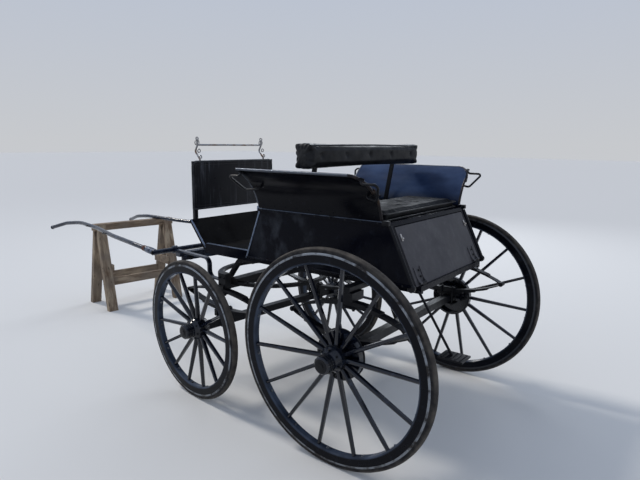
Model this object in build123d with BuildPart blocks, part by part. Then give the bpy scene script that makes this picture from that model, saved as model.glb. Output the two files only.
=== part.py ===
"""A four-wheeled dog cart, back-to-back seated, with its shafts laid on a wooden trestle.

Millimetres, +X forwards, +Y to the cart's left, +Z up. Every piece is drawn in one of three
working frames and moved to the cart's own frame when it is written:
  body frame    origin on the ground under the rear axle
  fore frame    origin on the ground under the king pin, turned with the fore-carriage
  trestle frame origin on the ground under the middle of the trestle's beam
The cart's own origin is on the ground in the middle of the whole object's length.
"""
import os
from math import atan2, cos, degrees, radians, sin, sqrt, tan

from build123d import *

os.makedirs("parts", exist_ok=True)

# Running gear
wheelbase = 990
steer_rest = -6.0
bearing_gap = 0.05
arm_radius = 19

# Wheels: tyre, wooden rim, dished spokes and nave
tyre_width = 34
tyre_height = 30
tyre_crown = 26
rim_height = 46
rim_width = 40
rim_chamfer = 6
dish = 40
nave_radius = 62
cap_radius = 42
spoke_count = 14
spoke_root = (20, 30)
spoke_tip = (16, 20)

# name, diameter, half_track, camber, spoke_start, nave_inner, nave_outer, cap_outer, drum_radius
wheel_table = [
    ("rear", 1060, 724, 3.0, 3.43, 22, 62, 112, 120),
    ("front", 832, 648, 1.5, 2.48, 52, 48, 100, 0),
]
drum_depth = 44
drum_wall = 8

# Body: sloping ends, upright sides
body_half = 445
side_thickness = 20
body_bottom = 850
body_top = 1140
front_top_x = 690
front_bottom_x = 800
rear_top_x = -115
rear_bottom_x = -254
moulding_height = 16
moulding_proud = 14
board_thickness = 18
rail_half = body_half - 73
rail_thickness = 22
rail_bottom = 812
tail_gap = 5
tail_hinge_gap = 0.3
tail_half = body_half - 51
hinge_half = rail_half - 42
hinge_width = 40
hinge_radius = 7
hinge_pin_radius = 3.5
hinge_gap = 0.5
hinge_rise = 8
sill_height = 28
sill_depth = 30
strap_length = 70
strap_thickness = 5
bead_radius = 8

# Axles and elliptic springs
axle_square = 44
leaf_thickness = 6.5
leaf_width = 42
leaf_step = 78
eye_radius = 13
# name, offset, half_span, lower_seat, bow, leaves
spring_table = [
    ("rear", 575, 335, 600, 78, 4),
    ("front", rail_half + 38, 360, 500, 51, 3),
]
bearer_width = 40
bearer_height = 26
bearer_block = (70, 99)

# Fifth wheel, bolsters and king pin
ring_radius = rail_half - 22
ring_width = 32
ring_thickness = 10
ring_gap = 0.5
bolster_width = 56
bolster_block = (70, 44, 96)
lower_bolster_height = 22
lower_bolster_overrun = 8
upper_bolster_height = 20
block_gap = 16
king_radius = 12
king_overrun = 26
king_head = 14
king_nut = 18
head_ratio = 1.8
scroll_half = ring_radius - 14
scroll_width = 36
scroll_thickness = 20
neck_length = 150
neck_top = 30
neck_foot = 66
neck_end = 92
neck_bend = 34

# Flared upper side panels
flare_foot_half = body_half + 12
flare_foot_z = 1148
flare_lip_half = body_half + 177
flare_lip_z = 1361
flare_start_tilt = 10
flare_thickness = 10
flare_rear_x = -87
flare_corner = 80
lip_radius = 7
handle_radius = 6.5
handle_bend = 18
handle_tuck = 50
handle_stand = 24
# edge of the flare, way the loop points, reach beyond the edge, upper foot and lower foot inside it
handle_table = [
    ("front", 1, 72, 16, 80),
    ("rear", -1, 72, 20, 34),
]
handle_top_share = 0.92
handle_low_share = 0.52

# Footwell, toe board, dashboard and rein rail
foot_front_x = 1235
foot_rail_top = 872
foot_floor_z = 830
toe_top = (1368, 1012)
toe_thickness = 16
toe_lift = 30
dash_half = body_half - 74
dash_x = 1335
dash_bottom = 1076
dash_top = 1382
dash_thickness = 12
dash_corner = 34
stay_half = dash_half - 31
stay_width = 26
rein_half = dash_half - 76
rein_x = 1380
rein_z = dash_top + 101
rein_radius = 6
rein_loop = (13, 7, 6)

# Seats
deck_thickness = 18
cushion_thickness = 44
cushion_half = body_half - 33
cushion_gap = 0.3
cushion_inset = 22
cushion_edge = 12
back_clearance = 40
iron_clearance = 4
back_half = body_half + 141
back_x = 290
back_bottom = 1391
back_height = 108
back_depth = 96
back_edge = 24
iron_half = body_half - 45
iron_width = 26
iron_thickness = 10
# x and height of the leaning iron's centre line
iron_line = [(385, 1148), (383, 1175), (348, 1375)]
saddle_height = 8

# Draught gear
draught_half = 330
draught_turn_x = 256
draught_bend = 42
draught_thickness = 12
draught_width = 30
draught_eye = 10
draught_clearance = 4
splinter_x = 582
splinter_width = 50
splinter_height = 28
splinter_overrun = 30
tree_half = 330
tree_width = 52
tree_thickness = 30
tree_eye = 16
tree_bolt = 8
tree_gap = 0.5
tree_head = 8
tree_middle = 60
trace_hole = 7
bar_x = 665
bar_z = 757
bar_radius = 17
bar_half = 505
shaft_radius = 16
shaft_ball_radius = 19
socket_length = 112
socket_wall = 5
# x forward of the king pin, half spacing, height
shaft_stations = [
    (665, 482, 757),
    (960, 492, 781),
    (1350, 446, 781),
    (1800, 361, 781),
    (2190, 330, 781),
    (2440, 352, 750),
    (2660, 395, 690),
]
shaft_bends = (500, 900, 900, 900, 420)

# Trestle
trestle_x = 3052
trestle_y = -337
trestle_turn = -9
beam_length = 760
beam_width = 74
beam_height = 58
rest_gap = 0.3
leg_spread = 215
leg_width = 52
leg_thickness = 80
leg_inset = 58
stretcher_z = 215
side_brace_z = 330
brace_height = 70
brace_thickness = 22

# Step
step_radius = 6.5
step_y = rail_half + step_radius
step_foot = (-437, 556)
step_plate = (120, 100, 8)

# Where each working frame lies in the cart's own frame
turn = radians(steer_rest)
tip_x, tip_half, tip_z = shaft_stations[-1]
front_reach = wheelbase + tip_x * cos(turn) - tip_half * sin(turn) + shaft_ball_radius
rear_reach = wheel_table[0][1] / 2
rear_axle_x = -(front_reach - rear_reach) / 2
body_place = Location((rear_axle_x, 0, 0))
fore_place = Location((rear_axle_x + wheelbase, 0, 0), (0, 0, steer_rest))
trestle_place = Location((rear_axle_x + trestle_x, trestle_y, 0), (0, 0, trestle_turn))


def store(part, label, place):
    """Move a finished piece to the cart's frame, name it and write it."""
    piece = part.moved(place)
    piece.label = label
    export_step(piece, f"parts/{label}.step")


def wheel_height(diameter, camber):
    """Height of the rim's centre, with the round tread on the ground."""
    return (diameter / 2 - tyre_crown) * cos(radians(camber)) + tyre_crown


def wheel_plane(side, diameter, half_track, camber):
    """Plane of the rim in its axle's frame, with its normal along the axle arm, outwards."""
    tilt = radians(camber)
    return Plane(
        origin=(0, side * half_track, wheel_height(diameter, camber)),
        x_dir=(1, 0, 0),
        z_dir=(0, side * cos(tilt), -sin(tilt)),
    )


# Wheels: each is drawn flat, the axle arm along Z and its outer end up
def build_tyre(radius):
    with BuildPart() as tyre:
        with BuildSketch(Plane.XZ):
            with BuildLine():
                shoulder = radius - tyre_crown + sqrt(tyre_crown**2 - (tyre_width / 2) ** 2)
                low = (radius - tyre_height, -tyre_width / 2)
                high = (radius - tyre_height, tyre_width / 2)
                Line(high, low)
                Line(low, (shoulder, -tyre_width / 2))
                ThreePointArc((shoulder, -tyre_width / 2), (radius, 0), (shoulder, tyre_width / 2))
                Line((shoulder, tyre_width / 2), high)
            make_face()
        revolve(axis=Axis.Z)
    return tyre.part


def build_rim(radius):
    inner = radius - tyre_height - rim_height
    with BuildPart() as rim:
        with BuildSketch(Plane.XZ.shift_origin((inner + rim_height / 2, 0, 0))) as section:
            Rectangle(rim_height, rim_width)
            chamfer(section.vertices().group_by(Axis.X)[0], rim_chamfer)
        revolve(axis=Axis.Z)
    return rim.part


def build_spokes(radius, spoke_start, nave_inner, nave_outer, cap_outer, drum_radius):
    """Nave, its cap, the brake drum where there is one, and the dished ring of spokes."""
    rim_inner = radius - tyre_height - rim_height
    spoke_slope = atan2(dish, rim_inner - nave_radius)
    spoke_dir = (cos(spoke_slope), 0, sin(spoke_slope))
    with BuildPart() as spoke:
        for distance, size in ((nave_radius - 14, spoke_root), (rim_inner + 4, spoke_tip)):
            height = -dish + (distance - nave_radius) * tan(spoke_slope)
            with BuildSketch(Plane((distance, 0, height), x_dir=(0, 1, 0), z_dir=spoke_dir)) as oval:
                Rectangle(*size)
                chamfer(oval.vertices(), size[0] * 0.28)
        loft(ruled=True)
    with BuildPart() as wheel:
        with BuildSketch(Plane.XZ):
            with BuildLine():
                Polyline(
                    (0, -dish - nave_inner),
                    (nave_radius - 12, -dish - nave_inner),
                    (nave_radius, -dish - nave_inner / 2),
                    (nave_radius, -dish + nave_outer / 2),
                    (cap_radius + 4, -dish + nave_outer),
                    (cap_radius, -dish + nave_outer),
                    (cap_radius, -dish + cap_outer - 6),
                    (cap_radius - 6, -dish + cap_outer),
                    (0, -dish + cap_outer),
                    (0, -dish - nave_inner),
                )
            make_face()
        revolve(axis=Axis.Z)
        with PolarLocations(0, spoke_count, start_angle=spoke_start):
            add(spoke.part)
        with BuildSketch(Plane.XY.offset(-dish - nave_inner - 1)):
            Circle(rim_inner)
        extrude(amount=nave_inner + cap_outer + dish, mode=Mode.INTERSECT)
        if drum_radius:
            with BuildSketch(Plane.XY.offset(-dish - nave_inner - drum_depth)):
                Circle(drum_radius)
            extrude(amount=drum_depth)
            with BuildSketch(Plane.XY.offset(-dish - nave_inner - drum_depth)):
                Circle(drum_radius - drum_wall)
            extrude(amount=drum_depth - drum_wall, mode=Mode.SUBTRACT)
        with BuildSketch(Plane.XY.offset(-dish - nave_inner - drum_depth)):
            Circle(arm_radius + bearing_gap)
        extrude(amount=nave_inner + drum_depth + nave_outer, mode=Mode.SUBTRACT)
    return wheel.part


for name, diameter, half_track, camber, spoke_start, nave_in, nave_out, cap_out, drum in wheel_table:
    tyre_shape = build_tyre(diameter / 2)
    rim_shape = build_rim(diameter / 2)
    spokes_shape = build_spokes(diameter / 2, spoke_start, nave_in, nave_out, cap_out, drum)
    place = body_place if name == "rear" else fore_place
    for side, side_name in ((1, "left"), (-1, "right")):
        seat = place * wheel_plane(side, diameter, half_track, camber).location
        store(tyre_shape, f"{name}_tyre_{side_name}", seat)
        store(rim_shape, f"{name}_rim_{side_name}", seat)
        store(spokes_shape, f"{name}_spokes_{side_name}", seat)


# Axles: a square bed, turned arms that follow the wheels' camber, and pads for the springs
def build_axle(name):
    row = next(wheel for wheel in wheel_table if wheel[0] == name)
    diameter, half_track, camber, nave_inner, nave_outer, drum = (row[i] for i in (1, 2, 3, 5, 6, 8))
    offset, half_span, lower_seat, bow, leaves = next(s for s in spring_table if s[0] == name)[1:]
    collar = dish + nave_inner + (drum_depth if drum else 0)
    bed_half = half_track - collar - 6
    bed_z = wheel_height(diameter, camber) + (half_track - bed_half) * sin(radians(camber))
    with BuildPart() as axle:
        with BuildSketch(Plane.XZ.offset(-bed_half)):
            with Locations((0, bed_z)):
                Rectangle(axle_square, axle_square)
        extrude(amount=2 * bed_half)
        for side in (1, -1):
            hub = wheel_plane(side, diameter, half_track, camber)
            with BuildSketch(hub.offset(-collar - 30)):
                Circle(arm_radius)
            extrude(amount=30 + collar - dish + nave_outer - 1)
            pad_bottom = bed_z + axle_square / 2
            pad_top = lower_seat - leaves * leaf_thickness
            with BuildSketch(Plane.XY.offset(pad_bottom)):
                with Locations((0, side * offset)):
                    Rectangle(2 * leaf_step - 20, leaf_width + 10)
            extrude(amount=pad_top - pad_bottom)
    return axle.part


store(build_axle("rear"), "rear_axle", body_place)
store(build_axle("front"), "front_axle", fore_place)


# Elliptic springs: two bowed packs of leaves that meet at an eye at each end
def build_leaves(offset, half_span, seat, bow, leaves, way):
    """One half of the springs of both sides; way is 1 for the upper half, -1 for the lower."""
    eye_z = seat - way * bow
    with BuildPart() as pack:
        with BuildSketch(Plane.XZ) as outline:
            for leaf in range(leaves):
                reach = half_span - leaf * leaf_step
                centre_z = seat + way * leaf * leaf_thickness
                radius = (half_span**2 + bow**2) / (2 * bow)
                end_z = centre_z - way * (radius - sqrt(radius**2 - reach**2))
                step = way * leaf_thickness
                with BuildLine():
                    ThreePointArc((-reach, end_z), (0, centre_z), (reach, end_z))
                    Line((reach, end_z), (reach, end_z + step))
                    ThreePointArc((reach, end_z + step), (0, centre_z + step), (-reach, end_z + step))
                    Line((-reach, end_z + step), (-reach, end_z))
                make_face()
            if way > 0:
                with Locations((-half_span, eye_z), (half_span, eye_z)):
                    Circle(eye_radius)
            else:
                with Locations((-half_span, eye_z), (half_span, eye_z)):
                    Circle(eye_radius, mode=Mode.SUBTRACT)
        for side in (1, -1):
            extrude(outline.sketch.moved(Location((0, side * offset, 0))), amount=leaf_width / 2, both=True)
    return pack.part


for name, offset, half_span, lower_seat, bow, leaves in spring_table:
    place = body_place if name == "rear" else fore_place
    store(build_leaves(offset, half_span, lower_seat, bow, leaves, -1), f"{name}_springs_lower", place)
    upper_seat = lower_seat + 2 * bow
    store(build_leaves(offset, half_span, upper_seat, bow, leaves, 1), f"{name}_springs_upper", place)


def spring_top(name):
    offset, half_span, lower_seat, bow, leaves = next(s for s in spring_table if s[0] == name)[1:]
    return lower_seat + 2 * bow + leaves * leaf_thickness


# Rear bearer: the cross bar on the rear springs that carries the chassis rails
rear_offset = spring_table[0][1]
with BuildPart() as rear_bearer:
    with BuildSketch(Plane.XY.offset(body_bottom - bearer_height)):
        Rectangle(bearer_width, 2 * rear_offset + leaf_width + 20)
    extrude(amount=bearer_height)
    with BuildSketch(Plane.XY.offset(spring_top("rear"))):
        with Locations((0, rear_offset - 18), (0, 18 - rear_offset)):
            Rectangle(*bearer_block)
    extrude(amount=body_bottom - bearer_height - spring_top("rear"))
store(rear_bearer.part, "rear_bearer", body_place)

# Fore-carriage: lower bolster and ring, draught irons, king pin
bolster_z = spring_top("front")
lower_ring_z = bolster_z + lower_bolster_height
upper_ring_z = lower_ring_z + ring_thickness + ring_gap
front_offset = spring_table[1][1]


def ring_outline():
    Circle(ring_radius + ring_width / 2)
    Circle(ring_radius - ring_width / 2, mode=Mode.SUBTRACT)
    Rectangle(bolster_width, 2 * ring_radius)


with BuildPart() as lower_ring:
    with BuildSketch(Plane.XY.offset(bolster_z)):
        Rectangle(bolster_width, 2 * (front_offset + lower_bolster_overrun) + leaf_width)
    extrude(amount=lower_ring_z - bolster_z)
    with BuildSketch(Plane.XY.offset(lower_ring_z)):
        ring_outline()
    extrude(amount=ring_thickness)
    block_half = ring_radius + ring_width / 2 + block_gap + bolster_block[1] / 2
    with BuildSketch(Plane.XY.offset(bolster_z)):
        with Locations((0, block_half), (0, -block_half)):
            Rectangle(bolster_block[0], bolster_block[1])
    extrude(amount=bolster_block[2])
    with BuildSketch(Plane.XY.offset(bolster_z)):
        Circle(king_radius)
    extrude(amount=lower_ring_z - bolster_z, mode=Mode.SUBTRACT)
    with BuildSketch(Plane.XY.offset(lower_ring_z)):
        Circle(king_radius)
    extrude(amount=ring_thickness, mode=Mode.SUBTRACT)
store(lower_ring.part, "lower_fifth_wheel", fore_place)

upper_bolster_top = upper_ring_z + ring_thickness + upper_bolster_height
with BuildPart() as upper_ring:
    with BuildSketch(Plane.XY.offset(upper_ring_z)):
        ring_outline()
    extrude(amount=ring_thickness)
    with BuildSketch(Plane.XY.offset(upper_ring_z + ring_thickness)):
        Rectangle(bolster_width, 2 * ring_radius + ring_width)
    extrude(amount=upper_bolster_top - upper_ring_z - ring_thickness)
    with BuildSketch(Plane.XY.offset(upper_ring_z)):
        Circle(king_radius + bearing_gap)
    extrude(amount=upper_bolster_top - upper_ring_z, mode=Mode.SUBTRACT)
store(upper_ring.part, "upper_fifth_wheel", body_place * Location((wheelbase, 0, 0)))

with BuildPart() as king_pin:
    with BuildSketch(Plane.XY.offset(bolster_z - king_overrun)):
        Circle(king_radius)
    extrude(amount=upper_bolster_top + ring_gap - bolster_z + king_overrun)
    with BuildSketch(Plane.XY.offset(upper_bolster_top + ring_gap)):
        RegularPolygon(king_radius * head_ratio, 6)
    extrude(amount=king_head)
    with BuildSketch(Plane.XY.offset(bolster_z - king_nut)):
        RegularPolygon(king_radius * head_ratio, 6)
    extrude(amount=king_nut)
store(king_pin.part, "king_pin", fore_place)

draught_low = lower_ring_z - 6
with BuildPart() as draught_irons:
    for side in (1, -1):
        with BuildLine(Plane.XZ.offset(-side * draught_half)) as route:
            FilletPolyline(
                (bolster_width / 2, draught_low),
                (draught_turn_x, draught_low),
                (draught_turn_x, bar_z),
                (bar_x - bar_radius - draught_clearance, bar_z),
                radius=draught_bend,
            )
        with BuildSketch(Plane(route.line @ 0, x_dir=(0, 1, 0), z_dir=route.line % 0)):
            Rectangle(draught_width, draught_thickness)
        sweep(path=route.line)
        with BuildSketch(Plane.XZ.offset(-side * draught_half)) as eye:
            with Locations((bar_x, bar_z)):
                Circle(bar_radius + draught_eye)
        extrude(amount=draught_width / 2, both=True)
    with BuildSketch(Plane.XZ.offset(-bar_half)):
        with Locations((bar_x, bar_z)):
            Circle(bar_radius + bearing_gap)
    extrude(amount=2 * bar_half, mode=Mode.SUBTRACT)
store(draught_irons.part, "draught_irons", fore_place)


# Splinter bar under the draught irons, and the swingletree that turns on its bolt
splinter_z = bar_z - draught_thickness / 2 - splinter_height
tree_z = splinter_z - tree_gap - tree_thickness
bolt_low = tree_z - tree_gap
with BuildPart() as splinter_bar:
    with BuildSketch(Plane.XY.offset(splinter_z)):
        with Locations((splinter_x, 0)):
            Rectangle(splinter_width, 2 * (draught_half + splinter_overrun))
    extrude(amount=splinter_height)
    with BuildSketch(Plane.XY.offset(bolt_low)):
        with Locations((splinter_x, 0)):
            Circle(tree_bolt)
    extrude(amount=splinter_z - bolt_low)
    with BuildSketch(Plane.XY.offset(bolt_low - tree_head)):
        with Locations((splinter_x, 0)):
            RegularPolygon(tree_bolt * head_ratio, 6)
    extrude(amount=tree_head)
store(splinter_bar.part, "splinter_bar", fore_place)

with BuildPart() as swingletree:
    with BuildSketch(Plane.XY.offset(tree_z)):
        with BuildLine():
            Polyline(
                (splinter_x - tree_width / 2, -tree_middle),
                (splinter_x - tree_width / 2, tree_middle),
                (splinter_x - tree_eye, tree_half - tree_eye),
            )
            ThreePointArc(
                (splinter_x - tree_eye, tree_half - tree_eye),
                (splinter_x, tree_half),
                (splinter_x + tree_eye, tree_half - tree_eye),
            )
            Polyline(
                (splinter_x + tree_eye, tree_half - tree_eye),
                (splinter_x + tree_width / 2, tree_middle),
                (splinter_x + tree_width / 2, -tree_middle),
                (splinter_x + tree_eye, tree_eye - tree_half),
            )
            ThreePointArc(
                (splinter_x + tree_eye, tree_eye - tree_half),
                (splinter_x, -tree_half),
                (splinter_x - tree_eye, tree_eye - tree_half),
            )
            Line((splinter_x - tree_eye, tree_eye - tree_half), (splinter_x - tree_width / 2, -tree_middle))
        make_face()
        with Locations((splinter_x, 0)):
            Circle(tree_bolt + bearing_gap, mode=Mode.SUBTRACT)
        with Locations((splinter_x, tree_half - tree_eye), (splinter_x, tree_eye - tree_half)):
            Circle(trace_hole, mode=Mode.SUBTRACT)
    extrude(amount=tree_thickness)
store(swingletree.part, "swingletree", fore_place)


# Shafts: round bars, level behind the trestle, turned out and down at the tips
def build_shaft(side):
    stations = [(x, side * half, z) for x, half, z in shaft_stations]
    with BuildPart() as shaft:
        with BuildLine() as route:
            FilletPolyline(*stations, radius=shaft_bends)
        with BuildSketch(Plane(route.line @ 0, x_dir=(0, 1, 0), z_dir=route.line % 0)):
            Circle(shaft_radius)
        sweep(path=route.line)
        with Locations(route.line @ 1):
            Sphere(shaft_ball_radius)
        with BuildSketch(Plane.XZ.offset(-bar_half)):
            with Locations((bar_x, bar_z)):
                Circle(bar_radius)
        extrude(amount=2 * bar_half, mode=Mode.SUBTRACT)
    return shaft.part


for side, side_name in ((1, "left"), (-1, "right")):
    store(build_shaft(side), f"shaft_{side_name}", fore_place)

with BuildPart() as shaft_bar:
    with BuildSketch(Plane.XZ.offset(-bar_half)):
        with Locations((bar_x, bar_z)):
            Circle(bar_radius)
    extrude(amount=2 * bar_half)
    for side in (1, -1):
        start = Vector(*[shaft_stations[0][0], side * shaft_stations[0][1], shaft_stations[0][2]])
        ahead = Vector(*[shaft_stations[1][0], side * shaft_stations[1][1], shaft_stations[1][2]])
        with BuildSketch(Plane(start, z_dir=ahead - start)):
            Circle(shaft_radius + socket_wall)
        extrude(amount=socket_length)
        with BuildSketch(Plane(start, z_dir=ahead - start)) as bore:
            Circle(shaft_radius)
        extrude(amount=socket_length, mode=Mode.SUBTRACT)
    with BuildSketch(Plane.XZ.offset(-bar_half)):
        with Locations((bar_x, bar_z)):
            Circle(bar_radius)
    extrude(amount=2 * bar_half)
store(shaft_bar.part, "shaft_bar", fore_place)


# Body: chassis rails, floor, sides, front, tailboard and deck
def rear_x(z):
    return rear_top_x + (rear_bottom_x - rear_top_x) * (body_top - z) / (body_top - body_bottom)


def front_x(z):
    return front_top_x + (front_bottom_x - front_top_x) * (body_top - z) / (body_top - body_bottom)


rail_rear_x = rear_x(body_bottom) - 12
hinge_z = body_bottom + hinge_rise + hinge_radius / 2
face_run = sqrt((rear_top_x - rear_bottom_x) ** 2 + (body_top - body_bottom) ** 2)
hinge_x = rear_x(hinge_z) - (hinge_radius + hinge_gap) * face_run / (body_top - body_bottom)
with BuildPart() as chassis_rails:
    for side in (1, -1):
        with BuildSketch(Plane.XZ.offset(-side * (rail_half - rail_thickness / 2))):
            Polygon(
                (rail_rear_x, rail_bottom),
                (foot_front_x, rail_bottom),
                (foot_front_x, foot_rail_top),
                (front_x(foot_rail_top) + 1, foot_rail_top),
                (front_x(body_bottom) + 1, body_bottom),
                (rail_rear_x, body_bottom),
                align=None,
            )
        extrude(amount=rail_thickness / 2, both=True)
    with BuildSketch(Plane.XY.offset(body_bottom - bearer_height)):
        Rectangle(bearer_width, 2 * rail_half)
    extrude(amount=bearer_height, mode=Mode.SUBTRACT)
    with BuildSketch(Plane.XY.offset(body_bottom - sill_height)):
        with Locations((rail_rear_x + sill_depth / 2, 0)):
            Rectangle(sill_depth, 2 * rail_half)
    extrude(amount=sill_height)
    for side in (1, -1):
        with BuildSketch(Plane.XY.offset(body_bottom)):
            with Locations((hinge_x - hinge_radius + 2, side * hinge_half)):
                Rectangle(4, hinge_width)
        extrude(amount=hinge_z - body_bottom)
        with BuildSketch(Plane.XZ.offset(-side * hinge_half)):
            with Locations((hinge_x, hinge_z)):
                Circle(hinge_radius)
        extrude(amount=hinge_width / 2, both=True)
        with BuildSketch(Plane.XZ.offset(-side * hinge_half)):
            with Locations((hinge_x, hinge_z)):
                Circle(hinge_pin_radius)
        extrude(amount=hinge_width, both=True)
store(chassis_rails.part, "chassis_rails", body_place)

floor_inner = body_half - side_thickness
with BuildPart() as body_floor:
    with BuildSketch(Plane.XZ.offset(-floor_inner)):
        Polygon(
            (rear_x(body_bottom) + 30, body_bottom),
            (front_x(body_bottom) - board_thickness, body_bottom),
            (front_x(body_bottom + 16) - board_thickness, body_bottom + 16),
            (rear_x(body_bottom + 16) + 30, body_bottom + 16),
            align=None,
        )
    extrude(amount=2 * floor_inner)
store(body_floor.part, "body_floor", body_place)


def build_side(side):
    """Lower side panel with its moulding along the top and the rear pillar beside the tailboard."""
    with BuildPart() as panel:
        with BuildSketch(Plane.XZ.offset(-side * (body_half - side_thickness / 2))):
            Polygon(
                (rear_x(body_bottom), body_bottom),
                (front_x(body_bottom), body_bottom),
                (front_x(body_top), body_top),
                (rear_x(body_top), body_top),
                align=None,
            )
        extrude(amount=side_thickness / 2, both=True)
        moulding_half = body_half + moulding_proud
        moulding_depth = moulding_proud + side_thickness
        with BuildSketch(Plane.XZ.offset(-side * (moulding_half - moulding_depth / 2))):
            with Locations(((front_top_x + rear_top_x) / 2, body_top)):
                Rectangle(front_top_x - rear_top_x + 12, moulding_height)
        extrude(amount=moulding_depth / 2, both=True)
        bead_z = body_bottom + bead_radius + 2
        with BuildSketch(Plane.YZ.offset(rear_x(bead_z))):
            with Locations((side * body_half, bead_z)):
                RegularPolygon(bead_radius, 8)
        extrude(amount=front_x(bead_z) - rear_x(bead_z))
        with BuildSketch(Plane.XZ.offset(-side * floor_inner)):
            Polygon(
                (rear_x(body_bottom), body_bottom),
                (rear_x(body_bottom) + board_thickness, body_bottom),
                (rear_x(body_top - deck_thickness) + board_thickness, body_top - deck_thickness),
                (rear_x(body_top - deck_thickness), body_top - deck_thickness),
                align=None,
            )
        extrude(amount=side * (floor_inner - tail_half - tail_gap))
    return panel.part


for side, side_name in ((1, "left"), (-1, "right")):
    store(build_side(side), f"body_side_{side_name}", body_place)

with BuildPart() as body_front:
    with BuildSketch(Plane.XZ.offset(-floor_inner)):
        Polygon(
            (front_x(body_bottom) - board_thickness, body_bottom),
            (front_x(body_bottom), body_bottom),
            (front_x(body_top - deck_thickness), body_top - deck_thickness),
            (front_x(body_top - deck_thickness) - board_thickness, body_top - deck_thickness),
            align=None,
        )
    extrude(amount=2 * floor_inner)
store(body_front.part, "body_front", body_place)

with BuildPart() as seat_deck:
    with BuildSketch(Plane.XZ.offset(-floor_inner)):
        Polygon(
            (rear_x(body_top - deck_thickness), body_top - deck_thickness),
            (front_x(body_top - deck_thickness), body_top - deck_thickness),
            (front_x(body_top), body_top),
            (rear_x(body_top), body_top),
            align=None,
        )
    extrude(amount=2 * floor_inner)
store(seat_deck.part, "seat_deck", body_place)

# Tailboard: fills the sloping back between the pillars, hinged along its lower outer edge
tail_foot_z = body_bottom + tail_hinge_gap
tail_head_z = body_top - deck_thickness - tail_gap
tail_depth = board_thickness * sqrt(1 + ((rear_top_x - rear_bottom_x) / (body_top - body_bottom)) ** 2)
with BuildPart() as tailboard:
    with BuildSketch(Plane.XZ.offset(-tail_half)):
        Polygon(
            (rear_x(tail_foot_z), tail_foot_z),
            (rear_x(tail_foot_z) + tail_depth, tail_foot_z),
            (rear_x(tail_head_z) + tail_depth, tail_head_z),
            (rear_x(tail_head_z), tail_head_z),
            align=None,
        )
    extrude(amount=2 * tail_half)
    for side in (1, -1):
        for shift in (-1, 1):
            strap_y = side * hinge_half + shift * 3 * hinge_width / 4
            with BuildSketch(Plane.XZ.offset(-strap_y)):
                with Locations((hinge_x, hinge_z)):
                    Circle(hinge_radius)
            extrude(amount=hinge_width / 4 - hinge_gap, both=True)
            with BuildSketch(Plane.XZ.offset(-strap_y)):
                Polygon(
                    (hinge_x - hinge_radius, hinge_z),
                    (rear_x(hinge_z) + 1, hinge_z),
                    (rear_x(hinge_z + strap_length) + 1, hinge_z + strap_length),
                    (rear_x(hinge_z + strap_length) - strap_thickness, hinge_z + strap_length),
                    (rear_x(hinge_z + 3 * hinge_radius) - strap_thickness, hinge_z + 3 * hinge_radius),
                    align=None,
                )
            extrude(amount=hinge_width / 4 - hinge_gap, both=True)
            with BuildSketch(Plane.XZ.offset(-strap_y)):
                with Locations((hinge_x, hinge_z)):
                    Circle(hinge_pin_radius + bearing_gap)
            extrude(amount=hinge_width / 4, both=True, mode=Mode.SUBTRACT)
store(tailboard.part, "tailboard", body_place)

# Flared upper panels: a rolled sheet that leans out to a rounded lip
chord = Vector(flare_lip_half - flare_foot_half, flare_lip_z - flare_foot_z, 0)
half_turn = degrees(atan2(chord.X, chord.Y)) - flare_start_tilt
roll = chord.length / (2 * sin(radians(half_turn)))
roll_half = flare_foot_half + roll * cos(radians(flare_start_tilt))
roll_z = flare_foot_z - roll * sin(radians(flare_start_tilt))


def build_flare(side):
    middle = radians(180 - flare_start_tilt - half_turn)
    end = radians(180 - flare_start_tilt - 2 * half_turn)
    start = radians(180 - flare_start_tilt)
    outer = roll
    inner = roll + flare_thickness

    def on_roll(radius, angle):
        return (side * (roll_half + radius * cos(angle)), roll_z + radius * sin(angle))

    with BuildPart() as flare:
        with BuildSketch(Plane.YZ.offset(flare_rear_x)):
            with BuildLine():
                ThreePointArc(on_roll(outer, start), on_roll(outer, middle), on_roll(outer, end))
                Line(on_roll(outer, end), on_roll(inner, end))
                ThreePointArc(on_roll(inner, end), on_roll(inner, middle), on_roll(inner, start))
                Line(on_roll(inner, start), on_roll(outer, start))
            make_face()
        extrude(amount=front_top_x - flare_rear_x)
        with BuildSketch(Plane.XZ):
            with BuildLine():
                corner = flare_rear_x + flare_corner
                lip = flare_lip_z + lip_radius
                Line((flare_rear_x - 20, lip + 20), (flare_rear_x - 20, lip - flare_corner))
                Line((flare_rear_x - 20, lip - flare_corner), (flare_rear_x, lip - flare_corner))
                RadiusArc((flare_rear_x, lip - flare_corner), (corner, lip), flare_corner)
                Line((corner, lip), (corner, lip + 20))
                Line((corner, lip + 20), (flare_rear_x - 20, lip + 20))
            make_face()
        extrude(amount=flare_lip_half + 50, both=True, mode=Mode.SUBTRACT)
    return flare.part


for side, side_name in ((1, "left"), (-1, "right")):
    store(build_flare(side), f"flare_{side_name}", body_place)


# Grab handles: a loop of round iron at each end of each flare, both feet on its outer face
def flare_point(share, stand):
    """Half width and height of a point at a share of the flare's rise, standing off its outer face."""
    angle = radians(180 - flare_start_tilt - share * 2 * half_turn)
    return roll_half + (roll - stand) * cos(angle), roll_z + (roll - stand) * sin(angle)


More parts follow.
